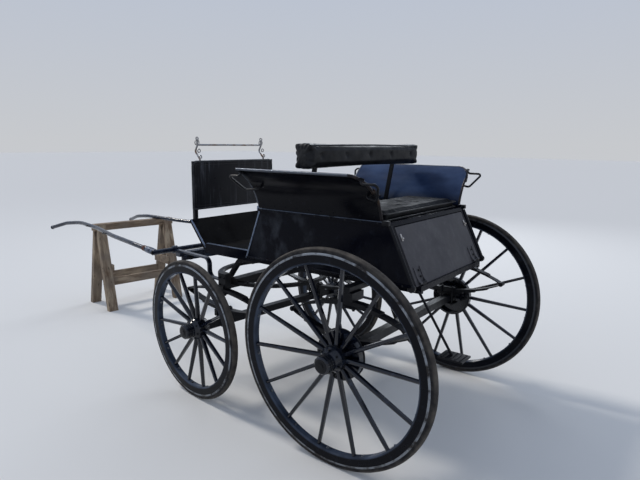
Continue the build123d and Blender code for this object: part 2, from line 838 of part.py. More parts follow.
with BuildPart() as flare_handles:
    for side in (1, -1):
        for end_name, way, reach, top_foot, low_foot in handle_table:
            edge_x = front_top_x if end_name == "front" else flare_rear_x
            top_half, top_z = flare_point(handle_top_share, handle_stand)
            low_half, low_z = flare_point(handle_low_share, handle_stand)
            top_face, top_face_z = flare_point(handle_top_share, 0)
            low_face, low_face_z = flare_point(handle_low_share, 0)
            with BuildLine() as loop:
                FilletPolyline(
                    (edge_x - way * top_foot, side * top_face, top_face_z),
                    (edge_x - way * top_foot, side * top_half, top_z),
                    (edge_x + way * reach, side * top_half, top_z),
                    (edge_x + way * (reach - handle_tuck), side * low_half, low_z - handle_stand / 2),
                    (edge_x - way * low_foot, side * low_half, low_z),
                    (edge_x - way * low_foot, side * low_face, low_face_z),
                    radius=handle_bend,
                )
            with BuildSketch(Plane(loop.line @ 0, x_dir=(1, 0, 0), z_dir=loop.line % 0)):
                RegularPolygon(handle_radius, 8)
            sweep(path=loop.line)
store(flare_handles.part, "flare_handles", body_place)


# Soft seats and the shared back rest
def soft_block(x0, x1, half, z0, z1, edge):
    with BuildPart() as block:
        with BuildSketch(Plane.XY.offset(z0)):
            with Locations(((x0 + x1) / 2, 0)):
                Rectangle(x1 - x0, 2 * half)
        extrude(amount=z1 - z0)
        chamfer(block.edges().filter_by(Axis.Y), edge)
    return block.part


seat_z = body_top + cushion_gap
seat_top = seat_z + cushion_thickness
rear_cushion = soft_block(
    rear_top_x + cushion_inset, back_x - back_clearance, cushion_half, seat_z, seat_top, cushion_edge
)
store(rear_cushion, "seat_cushion_rear", body_place)
iron_front = iron_line[0][0] + iron_width + iron_clearance
front_cushion = soft_block(
    iron_front, front_top_x - cushion_inset, cushion_half, seat_z, seat_top, cushion_edge
)
store(front_cushion, "seat_cushion_front", body_place)
back_rest = soft_block(
    back_x - back_depth / 2, back_x + back_depth / 2, back_half, back_bottom, back_bottom + back_height, back_edge
)
store(back_rest, "back_rest", body_place)

with BuildPart() as back_irons:
    saddle_top = back_bottom - cushion_gap
    for side in (1, -1):
        with BuildSketch(Plane.XY.offset(body_top)):
            with Locations((iron_line[0][0], side * iron_half)):
                Rectangle(2 * iron_width, 2 * iron_thickness)
        extrude(amount=iron_line[0][1] - body_top)
        with BuildSketch(Plane.XZ.offset(-side * iron_half)):
            Polygon(
                *[(x - iron_width / 2, z) for x, z in iron_line],
                (iron_line[-1][0] - iron_width / 2, saddle_top),
                (iron_line[-1][0] + iron_width / 2, saddle_top),
                *[(x + iron_width / 2, z) for x, z in reversed(iron_line)],
                align=None,
            )
        extrude(amount=iron_thickness / 2, both=True)
        with BuildSketch(Plane.XY.offset(saddle_top - saddle_height)):
            with Locations(((back_x + iron_line[-1][0]) / 2, side * iron_half)):
                Rectangle(iron_line[-1][0] - back_x + iron_width, 3 * iron_thickness)
        extrude(amount=saddle_height)
store(back_irons.part, "back_irons", body_place)

# Footwell: floor between the rails, sloping toe board, dashboard and rein rail
foot_half = rail_half - rail_thickness
with BuildPart() as foot_floor:
    with BuildSketch(Plane.XZ.offset(-foot_half)):
        Polygon(
            (front_x(body_bottom) - board_thickness, foot_floor_z),
            (foot_front_x, foot_floor_z),
            (foot_front_x, foot_floor_z + board_thickness),
            (front_x(body_bottom) - board_thickness, foot_floor_z + board_thickness),
            align=None,
        )
    extrude(amount=2 * foot_half)
store(foot_floor.part, "foot_floor", body_place)

toe_run = Vector(toe_top[0] - foot_front_x, 0, toe_top[1] - rail_bottom - toe_lift)
toe_dir = toe_run / toe_run.length
toe_normal = Vector(toe_dir.Z, 0, -toe_dir.X)
toe_foot = Vector(foot_front_x, 0, rail_bottom + toe_lift)
with BuildPart() as toe_board:
    with BuildSketch(Plane.XZ.offset(-rail_half)):
        far_foot = toe_foot + toe_normal * toe_thickness
        far_top = Vector(toe_top[0], 0, toe_top[1]) + toe_normal * toe_thickness
        Polygon(
            (toe_foot.X, toe_foot.Z),
            (far_foot.X, far_foot.Z),
            (far_top.X, far_top.Z),
            (toe_top[0], toe_top[1]),
            align=None,
        )
    extrude(amount=2 * rail_half)
store(toe_board.part, "toe_board", body_place)

with BuildPart() as dashboard:
    with BuildSketch(Plane.YZ.offset(dash_x)) as sheet:
        with Locations((0, (dash_top + dash_bottom) / 2)):
            Rectangle(2 * dash_half, dash_top - dash_bottom)
        fillet(sheet.vertices().group_by(Axis.Y)[0], dash_corner)
    extrude(amount=dash_thickness)
    stay_x = dash_x + dash_thickness
    stay_foot_z = toe_top[1] - (toe_top[0] - stay_x) * toe_dir.Z / toe_dir.X
    for side in (1, -1):
        with BuildSketch(Plane.XZ.offset(-side * stay_half)):
            Polygon(
                (stay_x, stay_foot_z),
                toe_top,
                (toe_top[0], dash_bottom + stay_width),
                (stay_x + strap_thickness, dash_bottom + 3 * stay_width),
                (stay_x + strap_thickness, dash_top - stay_width),
                (stay_x, dash_top - stay_width),
                align=None,
            )
        extrude(amount=stay_width / 2, both=True)
store(dashboard.part, "dashboard", body_place)

with BuildPart() as rein_rail:
    with BuildSketch(Plane.XZ.offset(-rein_half)):
        with Locations((rein_x, rein_z)):
            RegularPolygon(rein_radius, 8)
    extrude(amount=2 * rein_half)
    hook_x = dash_x + dash_thickness + rein_radius
    for side in (1, -1):
        with BuildLine(Plane.XZ.offset(-side * rein_half)) as hook:
            FilletPolyline(
                (hook_x, dash_top - 60),
                (hook_x, dash_top + 10),
                (rein_x + 16, rein_z - 40),
                (rein_x - 4, rein_z - 4),
                (rein_x - 4, rein_z + 32),
                radius=16,
            )
        with BuildSketch(Plane(hook.line @ 0, x_dir=(0, 1, 0), z_dir=hook.line % 0)):
            RegularPolygon(rein_radius, 8)
        sweep(path=hook.line)
        outer, inner, wire = rein_loop
        with BuildSketch(Plane.XZ.offset(-side * rein_half)):
            with Locations((rein_x - 4, rein_z + 32 + inner)):
                RegularPolygon(outer, 12)
                RegularPolygon(inner, 12, mode=Mode.SUBTRACT)
        extrude(amount=wire / 2, both=True)
store(rein_rail.part, "rein_rail", body_place)

# Scroll irons: swan-necked bars that carry the body's front on the fifth wheel
with BuildPart() as scroll_irons:
    iron_z = upper_ring_z + ring_thickness
    for side in (1, -1):
        with BuildLine(Plane.XZ.offset(-side * scroll_half)) as neck:
            FilletPolyline(
                (wheelbase - neck_length, rail_bottom - scroll_thickness / 2),
                (wheelbase - neck_top, rail_bottom - scroll_thickness / 2),
                (wheelbase + neck_foot, iron_z + scroll_thickness / 2),
                (wheelbase + neck_end, iron_z + scroll_thickness / 2),
                radius=neck_bend,
            )
        with BuildSketch(Plane(neck.line @ 0, x_dir=(0, 1, 0), z_dir=neck.line % 0)):
            Rectangle(scroll_width, scroll_thickness)
        sweep(path=neck.line)
store(scroll_irons.part, "scroll_irons", body_place)

# Rear step: a plate on a flat iron under the near rear corner
with BuildPart() as rear_step:
    with BuildLine(Plane.XZ.offset(-step_y)) as stem:
        FilletPolyline(
            (rail_rear_x + 70, (rail_bottom + body_bottom) / 2),
            (rail_rear_x + 10, (rail_bottom + body_bottom) / 2 - 4),
            step_foot,
            radius=4 * step_radius,
        )
    with BuildSketch(Plane(stem.line @ 0, x_dir=(0, 1, 0), z_dir=stem.line % 0)):
        RegularPolygon(step_radius, 8)
    sweep(path=stem.line)
    with BuildSketch(Plane.XY.offset(step_foot[1] - step_plate[2])):
        with Locations((step_foot[0] - 10, step_y)):
            Rectangle(step_plate[0], step_plate[1])
    extrude(amount=step_plate[2])
store(rear_step.part, "rear_step", body_place)

# Trestle
beam_top = shaft_stations[2][2] - shaft_radius - rest_gap
with BuildPart() as trestle_beam:
    with BuildSketch(Plane.XY.offset(beam_top - beam_height)):
        Rectangle(beam_width, beam_length)
    extrude(amount=beam_height)
store(trestle_beam.part, "trestle_beam", trestle_place)

leg_top_z = beam_top - beam_height - 60
with BuildPart() as trestle_legs:
    for end in (1, -1):
        for way in (1, -1):
            with BuildSketch(Plane.XZ.offset(-end * (beam_length / 2 - leg_inset))):
                Polygon(
                    (way * beam_width / 2, beam_top - 4),
                    (way * beam_width / 2, beam_top - beam_height),
                    (way * (beam_width / 2 - leg_width / 3), leg_top_z),
                    (way * (leg_spread - leg_width), 0),
                    (way * leg_spread, 0),
                    (way * (beam_width / 2 + leg_width / 3), leg_top_z + 50),
                    align=None,
                )
            extrude(amount=leg_thickness / 2, both=True)
store(trestle_legs.part, "trestle_legs", trestle_place)

brace_half = beam_length / 2 - leg_inset - leg_thickness / 2
with BuildPart() as trestle_braces:
    for way in (1, -1):
        with BuildSketch(Plane.XY.offset(stretcher_z)):
            with Locations((way * (leg_spread - 1.7 * leg_width), 0)):
                Rectangle(brace_thickness, 2 * brace_half)
        extrude(amount=brace_height)
        with BuildSketch(Plane.XY.offset(side_brace_z)):
            with Locations((0, way * (brace_half - brace_thickness / 2))):
                Rectangle(2 * (leg_spread - 1.7 * leg_width), brace_thickness)
        extrude(amount=brace_height)
store(trestle_braces.part, "trestle_braces", trestle_place)

print("rear axle x", rear_axle_x, "king x", rear_axle_x + wheelbase)
print("beam top", beam_top, "hinge", hinge_x, hinge_z)
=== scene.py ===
import math

import bmesh
import bpy
from mathutils import Matrix, Vector


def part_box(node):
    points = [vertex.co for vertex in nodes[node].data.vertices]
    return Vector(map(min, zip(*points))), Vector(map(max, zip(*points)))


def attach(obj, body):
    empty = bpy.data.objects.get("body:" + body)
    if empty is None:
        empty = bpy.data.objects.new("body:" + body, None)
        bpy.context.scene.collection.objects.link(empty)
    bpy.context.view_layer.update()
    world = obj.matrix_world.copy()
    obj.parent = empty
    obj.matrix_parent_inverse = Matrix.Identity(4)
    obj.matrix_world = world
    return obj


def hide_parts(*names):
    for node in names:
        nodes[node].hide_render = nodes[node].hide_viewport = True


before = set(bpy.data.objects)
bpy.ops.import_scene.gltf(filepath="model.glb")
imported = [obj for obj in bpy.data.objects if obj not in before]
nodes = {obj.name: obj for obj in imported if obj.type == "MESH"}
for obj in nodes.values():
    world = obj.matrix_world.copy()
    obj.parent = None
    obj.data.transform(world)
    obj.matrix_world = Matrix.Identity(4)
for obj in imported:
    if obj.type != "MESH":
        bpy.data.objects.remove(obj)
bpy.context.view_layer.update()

scene = bpy.context.scene
scene.view_settings.view_transform = "Standard"



def add_object(name, data):
    piece = bpy.data.objects.new(name, data)
    scene.collection.objects.link(piece)
    return piece


# Camera: stands behind the near rear wheel at eye height and looks along the cart towards
# the far front, as the photograph does. Its place is measured from the rear axle.
rear_axle_x = -1.582858492335165
body_frame = Matrix.Translation((rear_axle_x, 0, 0))
camera_place = body_frame @ Vector((-1.3422, 2.6023, 1.5075))
camera_yaw, camera_pitch, camera_roll = (math.radians(a) for a in (-53.06, -10.24, 0.68))
ahead = Vector((math.cos(camera_pitch) * math.cos(camera_yaw), math.cos(camera_pitch) * math.sin(camera_yaw),
                math.sin(camera_pitch)))
level = ahead.cross(Vector((0, 0, 1))).normalized()
upright = level.cross(ahead)
across = math.cos(camera_roll) * level + math.sin(camera_roll) * upright
upwards = -math.sin(camera_roll) * level + math.cos(camera_roll) * upright
lens_data = bpy.data.cameras.new("camera")
camera = add_object("camera", lens_data)
camera.matrix_world = Matrix((across, upwards, -ahead)).transposed().to_4x4()
camera.location = camera_place
lens_data.sensor_width = 36
lens_data.lens = 30.195
lens_data.shift_x = 0.00125
lens_data.shift_y = -0.00094
lens_data.clip_end = 200
scene.camera = camera

# Floor and light: a pale floor without an edge in view, a pale surround that turns blue overhead,
# a soft sun ahead of the carriage and two weak square lamps that the gloss paint mirrors.


def new_finish(name, roughness=0.5, metallic=0.0, coat=0.0, coat_roughness=0.1, specular=0.5):
    finish = bpy.data.materials.new(name)
    finish.use_nodes = True
    shader = finish.node_tree.nodes["Principled BSDF"]
    shader.inputs["Roughness"].default_value = roughness
    shader.inputs["Metallic"].default_value = metallic
    shader.inputs["Coat Weight"].default_value = coat
    shader.inputs["Coat Roughness"].default_value = coat_roughness
    shader.inputs["Specular IOR Level"].default_value = specular
    return finish, finish.node_tree, shader


def add_node(tree, kind, inputs, **settings):
    """A node with its settings; an input takes a constant, or a link from an output socket."""
    node = tree.nodes.new(kind)
    for name, value in settings.items():
        setattr(node, name, value)
    for socket, value in inputs.items():
        if isinstance(value, bpy.types.NodeSocket):
            tree.links.new(value, node.inputs[socket])
        else:
            node.inputs[socket].default_value = value
    return node


floor_reach = 60
floor_mesh = bpy.data.meshes.new("floor")
floor_mesh.from_pydata([(x * floor_reach, y * floor_reach, 0) for x, y in ((-1, -1), (1, -1), (1, 1), (-1, 1))],
                       [], [(0, 1, 2, 3)])
floor = add_object("floor", floor_mesh)
floor_finish, _, floor_shader = new_finish("floor", roughness=0.9, specular=0.1)
floor_shader.inputs["Base Color"].default_value = (0.66, 0.655, 0.64, 1)
floor_mesh.materials.append(floor_finish)

surround = bpy.data.worlds.new("surround")
scene.world = surround
surround.use_nodes = True
sky = surround.node_tree
sky.nodes.clear()
sky_coord = add_node(sky, "ShaderNodeTexCoord", {})
sky_split = add_node(sky, "ShaderNodeSeparateXYZ", {0: sky_coord.outputs["Generated"]})
sky_rise = add_node(sky, "ShaderNodeMapRange", {"Value": sky_split.outputs["Z"], "From Max": 0.45})
sky_colour = add_node(sky, "ShaderNodeMix", {"Factor": sky_rise.outputs["Result"], 6: (0.57, 0.585, 0.61, 1),
                                             7: (0.44, 0.51, 0.65, 1)}, data_type="RGBA")
sky_light = add_node(sky, "ShaderNodeBackground", {"Color": sky_colour.outputs[2]})
add_node(sky, "ShaderNodeOutputWorld", {"Surface": sky_light.outputs[0]})

key_data = bpy.data.lights.new("key", "SUN")
key_data.energy, key_data.angle, key_data.color = 1.7, math.radians(10), (1, 0.955, 0.89)
key = add_object("key", key_data)
key.rotation_euler = Vector((-1.0, -0.10, -1.0)).to_track_quat("-Z", "Y").to_euler()
# name, place, power in watts, side of the square lamp
for lamp_name, lamp_place, power, lamp_side in (
        ("back", (1.5, -6.0, 4.5), 120, 3.5), ("side", (3.0, 6.5, 4.0), 25, 3.0)):
    lamp_data = bpy.data.lights.new(lamp_name, "AREA")
    lamp_data.energy, lamp_data.size, lamp_data.color = power, lamp_side, (0.9, 0.95, 1)
    lamp = add_object(lamp_name, lamp_data)
    lamp.location = lamp_place
    lamp.rotation_euler = (Vector((0, 0, 0.7)) - lamp.location).to_track_quat("-Z", "Y").to_euler()

# Tyres: solid rubber held in a steel channel. The tread is worn pale brown with road dust,
# the cheeks stay nearly black. Each wheel's own axle is the middle of its pattern.
wheelbase = 0.990
steer_rest = math.radians(-6)
fore_frame = Matrix.Translation((rear_axle_x + wheelbase, 0, 0)) @ Matrix.Rotation(steer_rest, 4, "Z")
both_sides = ((1, "left"), (-1, "right"))
# radius, half track, camber, nave outer, cap outer
wheel_sizes = {
    "rear": (0.530, 0.724, 3.0, 0.062, 0.112),
    "front": (0.416, 0.648, 1.5, 0.048, 0.100),
}
tyre_height = 0.030
tyre_crown = 0.026
rim_height = 0.046
dish = 0.040


def wheel_frame(end, side):
    """The rim's middle, with Z along the axle arm, outwards."""
    radius, half_track, camber = wheel_sizes[end][:3]
    tilt = math.radians(camber)
    out = Vector((0, side * math.cos(tilt), -math.sin(tilt)))
    along = Vector((1, 0, 0))
    turned = Matrix((along, out.cross(along), out)).transposed().to_4x4()
    turned.translation = (0, side * half_track, (radius - tyre_crown) * math.cos(tilt) + tyre_crown)
    return (body_frame if end == "rear" else fore_frame) @ turned


def noise(tree, scale, detail=4.0, stretch=(1, 1, 1), turn=0.0, roughness=0.55):
    """A noise on Object coordinates, stretched along the axes as the table of three says."""
    coord = add_node(tree, "ShaderNodeTexCoord", {})
    place = add_node(tree, "ShaderNodeMapping", {"Vector": coord.outputs["Object"], "Scale": stretch,
                                                 "Rotation": (0, 0, turn)})
    return add_node(tree, "ShaderNodeTexNoise", {"Vector": place.outputs["Vector"], "Scale": scale,
                                                 "Detail": detail, "Roughness": roughness}).outputs["Fac"]


def span(tree, value, low, high, to_low=0.0, to_high=1.0):
    return add_node(tree, "ShaderNodeMapRange", {"Value": value, "From Min": low, "From Max": high,
                                                 "To Min": to_low, "To Max": to_high}).outputs["Result"]


def product(tree, a, b):
    return add_node(tree, "ShaderNodeMath", {0: a, 1: b}, operation="MULTIPLY").outputs[0]


def reach_from(tree, point):
    """The distance of the shaded spot from a point in the part's frame."""
    coord = add_node(tree, "ShaderNodeTexCoord", {})
    return add_node(tree, "ShaderNodeVectorMath", {0: coord.outputs["Object"], 1: tuple(point)},
                    operation="DISTANCE").outputs["Value"]


def blend_colours(tree, share, first, second):
    """first and second are each a colour of three numbers or an output socket."""
    first, second = ((*c, 1) if isinstance(c, tuple) else c for c in (first, second))
    return add_node(tree, "ShaderNodeMix", {"Factor": share, 6: first, 7: second}, data_type="RGBA").outputs[2]


def tint(finish, share, colour):
    """Lay a colour over the finish's own colour, by that share."""
    tree = finish.node_tree
    base = tree.nodes["Principled BSDF"].inputs["Base Color"]
    tree.links.new(blend_colours(tree, share, base.links[0].from_socket, colour), base)


def raise_bumps(tree, shader, height, strength, distance):
    bump = add_node(tree, "ShaderNodeBump", {"Height": height, "Strength": strength, "Distance": distance})
    tree.links.new(bump.outputs["Normal"], shader.inputs["Normal"])


def rubber(name, middle, radius):
    finish, tree, shader = new_finish(name, roughness=0.8, specular=0.2)
    tread = span(tree, reach_from(tree, middle), radius - 0.014, radius - 0.004)
    patches = span(tree, noise(tree, 14, 6), 0.35, 0.68, 0.1, 0.85)
    dust = product(tree, tread, patches)
    cheek = blend_colours(tree, span(tree, noise(tree, 22, 5), 0.42, 0.7), (0.010, 0.010, 0.012),
                          (0.040, 0.037, 0.034))
    tree.links.new(blend_colours(tree, dust, cheek, (0.105, 0.092, 0.078)), shader.inputs["Base Color"])
    tree.links.new(span(tree, noise(tree, 60, 3), 0.3, 0.7, 0.62, 0.92), shader.inputs["Roughness"])
    raise_bumps(tree, shader, noise(tree, 160, 4), 0.35, 0.002)
    return finish


def wear(node, finish):
    """The CAD node takes that finish alone."""
    nodes[node].data.materials.clear()
    nodes[node].data.materials.append(finish)


for end in ("rear", "front"):
    for side, side_name in both_sides:
        hub = wheel_frame(end, side)
        wear(f"{end}_tyre_{side_name}",
             rubber(f"{end} {side_name} rubber", tuple(hub.translation), wheel_sizes[end][0]))

# Steel channels: the rolled channel that the rubber is pressed into shows as two thin rings,
# the outer one worn grey steel, the inner one nearly black, both flecked with rust.


def bright_steel(name, base=(0.46, 0.45, 0.44), rust=(0.16, 0.085, 0.045), rust_from=0.56):
    finish, tree, shader = new_finish(name, roughness=0.32, metallic=0.85)
    stain = span(tree, noise(tree, 18, 7), rust_from, rust_from + 0.14)
    tree.links.new(blend_colours(tree, stain, base, rust), shader.inputs["Base Color"])
    tree.links.new(span(tree, noise(tree, 40, 4), 0.3, 0.7, 0.24, 0.55), shader.inputs["Roughness"])
    raise_bumps(tree, shader, noise(tree, 220, 3), 0.2, 0.001)
    return finish


def lathe(mesh, place, outline, steps=96):
    """Turn a closed outline of (radius, height) pairs round the place's Z."""
    rows = []
    for step in range(steps):
        turn = 2 * math.pi * step / steps
        rows.append([mesh.verts.new(place @ Vector((r * math.cos(turn), r * math.sin(turn), h)))
                     for r, h in outline])
    for step in range(steps):
        here, there = rows[step], rows[(step + 1) % steps]
        for index in range(len(outline)):
            follow = (index + 1) % len(outline)
            mesh.faces.new((here[index], there[index], there[follow], here[follow]))


def settle(mesh, name, finish, body, sharp=35):
    """Close a bmesh, make it an object in the part's frame and let it ride on its body."""
    bmesh.ops.remove_doubles(mesh, verts=mesh.verts, dist=2e-6)
    bmesh.ops.dissolve_degenerate(mesh, edges=mesh.edges, dist=1e-6)
    bmesh.ops.recalc_face_normals(mesh, faces=mesh.faces)
    data = bpy.data.meshes.new(name)
    mesh.to_mesh(data)
    mesh.free()
    data.shade_smooth()
    data.set_sharp_from_angle(angle=math.radians(sharp))
    data.materials.append(finish)
    piece = add_object(name, data)
    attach(piece, body)


channel_steel = bright_steel("worn channel steel", base=(0.22, 0.24, 0.27), rust=(0.03, 0.028, 0.028), rust_from=0.47)
stained_steel = bright_steel("stained channel steel", base=(0.045, 0.048, 0.055), rust=(0.03, 0.026, 0.024))
for end in ("rear", "front"):
    for side, side_name in both_sides:
        seat = wheel_sizes[end][0] - tyre_height
        for way, channel_name, finish in ((1, "outer", channel_steel), (-1, "inner", stained_steel)):
            channel = bmesh.new()
            lathe(channel, wheel_frame(end, side), [
                (seat - 0.003, way * 0.0172), (seat + 0.005, way * 0.0172), (seat + 0.007, way * 0.0186),
                (seat + 0.005, way * 0.0201), (seat - 0.003, way * 0.0206),
            ], 120)
            settle(channel, f"{end}_{channel_name}_channel_{side_name}", finish, f"{end}_wheel_{side_name}",
                   50)

# Rims and spokes: ash felloes and spokes under thick black coach paint, the spokes scuffed blue grey
# in patches. A patchy blue-grey band along each felloe's inner edge is a painted highlight.


def coach_black(name, deep=(0.0055, 0.0065, 0.010), scuffed=(0.026, 0.031, 0.041), dust=(0.075, 0.07, 0.065),
                scuff_from=0.56, dust_from=0.60, gloss=(0.16, 0.42), stretch=(1, 1, 1), bump=0.08, coat=0.12,
                specular=0.3):
    finish, tree, shader = new_finish(name, coat=coat, coat_roughness=0.12, specular=specular)
    scuffs = span(tree, noise(tree, 26, 8, stretch, roughness=0.65), scuff_from, scuff_from + 0.16)
    worn = blend_colours(tree, scuffs, deep, scuffed)
    dusting = span(tree, noise(tree, 4.5, 6, stretch), dust_from, dust_from + 0.3, 0, 0.75)
    tree.links.new(blend_colours(tree, dusting, worn, dust), shader.inputs["Base Color"])
    tree.links.new(span(tree, noise(tree, 9, 5, stretch), 0.32, 0.68, *gloss), shader.inputs["Roughness"])
    raise_bumps(tree, shader, noise(tree, 55, 5, stretch), bump, 0.003)
    return finish


wheel_paint = coach_black("black wheel paint", deep=(0.0035, 0.0050, 0.0105), scuffed=(0.022, 0.030, 0.048),
                          dust=(0.05, 0.048, 0.046), dust_from=0.66, gloss=(0.07, 0.22), coat=0.3, specular=0.32)
for end in ("rear", "front"):
    for side, side_name in both_sides:
        wear(f"{end}_spokes_{side_name}", wheel_paint)
        felloe = coach_black(f"{end} {side_name} felloe paint", deep=(0.0025, 0.0030, 0.0055),
                             scuffed=(0.010, 0.013, 0.021), dust=(0.035, 0.034, 0.033), dust_from=0.66,
                             gloss=(0.07, 0.22), coat=0.05, specular=0.09)
        tree = felloe.node_tree
        inner = wheel_sizes[end][0] - tyre_height - rim_height
        reach = reach_from(tree, wheel_frame(end, side).translation)
        # Painted highlight: a blue-grey band along the felloe's inner edge, in patches.
        painted_edge_highlight = span(tree, reach, inner + 0.004, inner + 0.011, 1.0, 0.0)
        patchy = span(tree, noise(tree, 7, 5), 0.3, 0.62, 0.25, 0.9)
        tint(felloe, product(tree, painted_edge_highlight, patchy), (0.060, 0.078, 0.115))
        wear(f"{end}_rim_{side_name}", felloe)


def growth_tree(name, sockets):
    """An empty node tree for a seed mesh, with those inputs and a finish; returns it and its inputs."""
    tree = bpy.data.node_groups.new(name, "GeometryNodeTree")
    for label, kind, value in (("Geometry", "Geometry", None), *sockets, ("Finish", "Material", None)):
        socket = tree.interface.new_socket(label, in_out="INPUT", socket_type="NodeSocket" + kind)
        if value is not None:
            socket.default_value = value
    tree.interface.new_socket("Geometry", in_out="OUTPUT", socket_type="NodeSocketGeometry")
    return tree, tree.nodes.new("NodeGroupInput").outputs


def plant(tree, entry, points, piece, way):
    """A copy of the piece on every point, its Z along the way, in the tree's finish."""
    turned = add_node(tree, "FunctionNodeAlignRotationToVector", {"Vector": way}, axis="Z")
    spread = add_node(tree, "GeometryNodeInstanceOnPoints", {"Points": points, "Instance": piece,
                                                             "Rotation": turned.outputs["Rotation"]})
    real = add_node(tree, "GeometryNodeRealizeInstances", {"Geometry": spread.outputs["Instances"]})
    coat = add_node(tree, "GeometryNodeSetMaterial", {"Geometry": real.outputs["Geometry"],
                                                      "Material": entry["Finish"]})
    add_node(tree, "NodeGroupOutput", {"Geometry": coat.outputs["Geometry"]})


def head_tree():
    """Bolt heads, each on its washer, on every point, turned along the point's own direction."""
    tree, entry = growth_tree("bolt heads", (("Head radius", "Float", 0.006), ("Head height", "Float", 0.004),
                                             ("Washer radius", "Float", 0.009), ("Head sides", "Int", 6)))
    head = add_node(tree, "GeometryNodeMeshCylinder", {"Vertices": entry["Head sides"],
                                                       "Radius": entry["Head radius"],
                                                       "Depth": entry["Head height"]})
    washer = add_node(tree, "GeometryNodeMeshCylinder", {"Vertices": 16, "Depth": 0.002,
                                                         "Radius": entry["Washer radius"]})
    middle = add_node(tree, "ShaderNodeMath", {0: entry["Head height"], 1: 0.5, 2: 0.001}, operation="MULTIPLY_ADD")
    lift = add_node(tree, "ShaderNodeCombineXYZ", {"Z": middle.outputs[0]})
    shift = add_node(tree, "GeometryNodeTransform", {"Geometry": head.outputs["Mesh"],
                                                     "Translation": lift.outputs[0]})
    both = add_node(tree, "GeometryNodeJoinGeometry", {0: shift.outputs["Geometry"]})
    tree.links.new(washer.outputs["Mesh"], both.inputs[0])
    way = add_node(tree, "GeometryNodeInputNamedAttribute", {"Name": "out"}, data_type="FLOAT_VECTOR")
    plant(tree, entry, entry["Geometry"], both.outputs[0], way.outputs["Attribute"])
    return tree


bolt_heads = head_tree()


def baked(carrier):
    """The mesh that the carrier's modifiers make."""
    return bpy.data.meshes.new_from_object(carrier.evaluated_get(bpy.context.evaluated_depsgraph_get()))


def grow(tree, seed, name, settings, body):
    """Run a node tree on a seed mesh and keep the result as a plain mesh that rides on the body."""
    carrier = add_object(name + "_seed", seed)
    modifier = carrier.modifiers.new("grow", "NODES")
    modifier.node_group = tree
    for item in tree.interface.items_tree:
        if item.in_out == "INPUT" and item.name in settings:
            modifier[item.identifier] = settings[item.name]
    bpy.context.view_layer.update()
    result = baked(carrier)
    bpy.data.objects.remove(carrier)
    result.name = name
    piece = add_object(name, result)
    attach(piece, body)


def bolts(name, spots, finish, body, radius=0.006, height=0.005, washer=0.009, sides=6):
    """spots: (place, direction out of the surface) in the part's frame."""
    seed = bpy.data.meshes.new(name + "_spots")
    seed.from_pydata([tuple(place) for place, _ in spots], [], [])
    ways = seed.attributes.new("out", "FLOAT_VECTOR", "POINT")
    ways.data.foreach_set("vector", [c for _, out in spots for c in Vector(out).normalized()])
    grow(bolt_heads, seed, name, {"Head radius": radius, "Head height": height, "Washer radius": washer,
                                  "Head sides": sides, "Finish": finish}, body)


def around(place, radius, height, count, start=0.0, lean=0.0):
    """Spots on a circle in a place's XY plane, facing along Z, or leaning outwards from it."""
    turned = place.to_3x3()
    spots = []
    for step in range(count):
        turn = start + 2 * math.pi * step / count
        flat = Vector((math.cos(turn), math.sin(turn), 0))
        spots.append((place @ (flat * radius + Vector((0, 0, height))),
                      turned @ (flat * math.sin(lean) + Vector((0, 0, math.cos(lean))))))
    return spots


iron_paint = coach_black("black iron paint", deep=(0.004, 0.0045, 0.0065), scuffed=(0.024, 0.025, 0.028),
                         dust=(0.055, 0.047, 0.04), scuff_from=0.6, dust_from=0.62, gloss=(0.26, 0.5), bump=0.12,
                         coat=0.05, specular=0.18)
spoke_count = 14
spoke_start = {"rear": math.radians(3.43), "front": math.radians(2.48)}

# Naves: each iron nave has a hoop at its back, a ring of flange bolts, a turned cap with two
# grooves and a six-sided end for the spanner. A rivet holds each spoke's tongue in the felloe.
for end in ("rear", "front"):
    radius, _, _, nave_outer, cap_outer = wheel_sizes[end]
    for side, side_name in both_sides:
        hub = wheel_frame(end, side)
        wheel = f"{end}_wheel_{side_name}"
        cap = bmesh.new()
        lathe(cap, hub, [(0.0605, -dish - 0.012), (0.0645, -dish - 0.011), (0.0650, -dish + 0.001),
                         (0.0645, -dish + 0.013), (0.0605, -dish + 0.014)], 64)
        face = -dish + cap_outer
        for groove in (0.020, 0.034):
            lathe(cap, hub, [(0.0415, face - groove - 0.004), (0.0440, face - groove - 0.003),
                             (0.0440, face - groove + 0.003), (0.0415, face - groove + 0.004)], 56)
        lathe(cap, hub, [(0.0, face - 0.002), (0.033, face - 0.002), (0.033, face + 0.0004), (0.030, face + 0.0012),
                         (0.020, face + 0.0018), (0.0, face + 0.0020)], 48)
        settle(cap, f"{end}_nave_hoops_{side_name}", iron_paint, wheel, 30)
        bolts(f"{end}_nave_bolts_{side_name}",
              around(hub, 0.0545, -dish + 0.755 * nave_outer, spoke_count // 2, 0.2,
                     math.atan2(nave_outer / 2, 0.016)),
              iron_paint, wheel, radius=0.0042, height=0.005, washer=0.006)
        bolts(f"{end}_cap_nut_{side_name}", [(hub @ Vector((0, 0, face + 0.0006)), hub.to_3x3() @ Vector((0, 0, 1)))],
              iron_paint, wheel, radius=0.017, height=0.0035, washer=0.021)
        inner = radius - tyre_height - rim_height
        tongues = []
        for step in range(spoke_count):
            turn = spoke_start[end] + math.pi * (2 * step + 0.5) / spoke_count
            flat = Vector((math.cos(turn), math.sin(turn), 0))
            tongues.append((hub @ (flat * inner), hub.to_3x3() @ -flat))
        bolts(f"{end}_felloe_bolts_{side_name}", tongues, channel_steel, wheel, 0.0045, 0.004, 0.0075)

# Brake drums: the rear naves carry a pressed drum behind them, with a rolled edge.
for side, side_name in both_sides:
    drum_edge = bmesh.new()
    lathe(drum_edge, wheel_frame("rear", side), [
        (0.1185, -dish - 0.066), (0.1225, -dish - 0.066), (0.1240, -dish - 0.062), (0.1225, -dish - 0.058),
        (0.1185, -dish - 0.058)], 72)
    settle(drum_edge, f"rear_drum_edge_{side_name}", iron_paint, f"rear_wheel_{side_name}", 40)

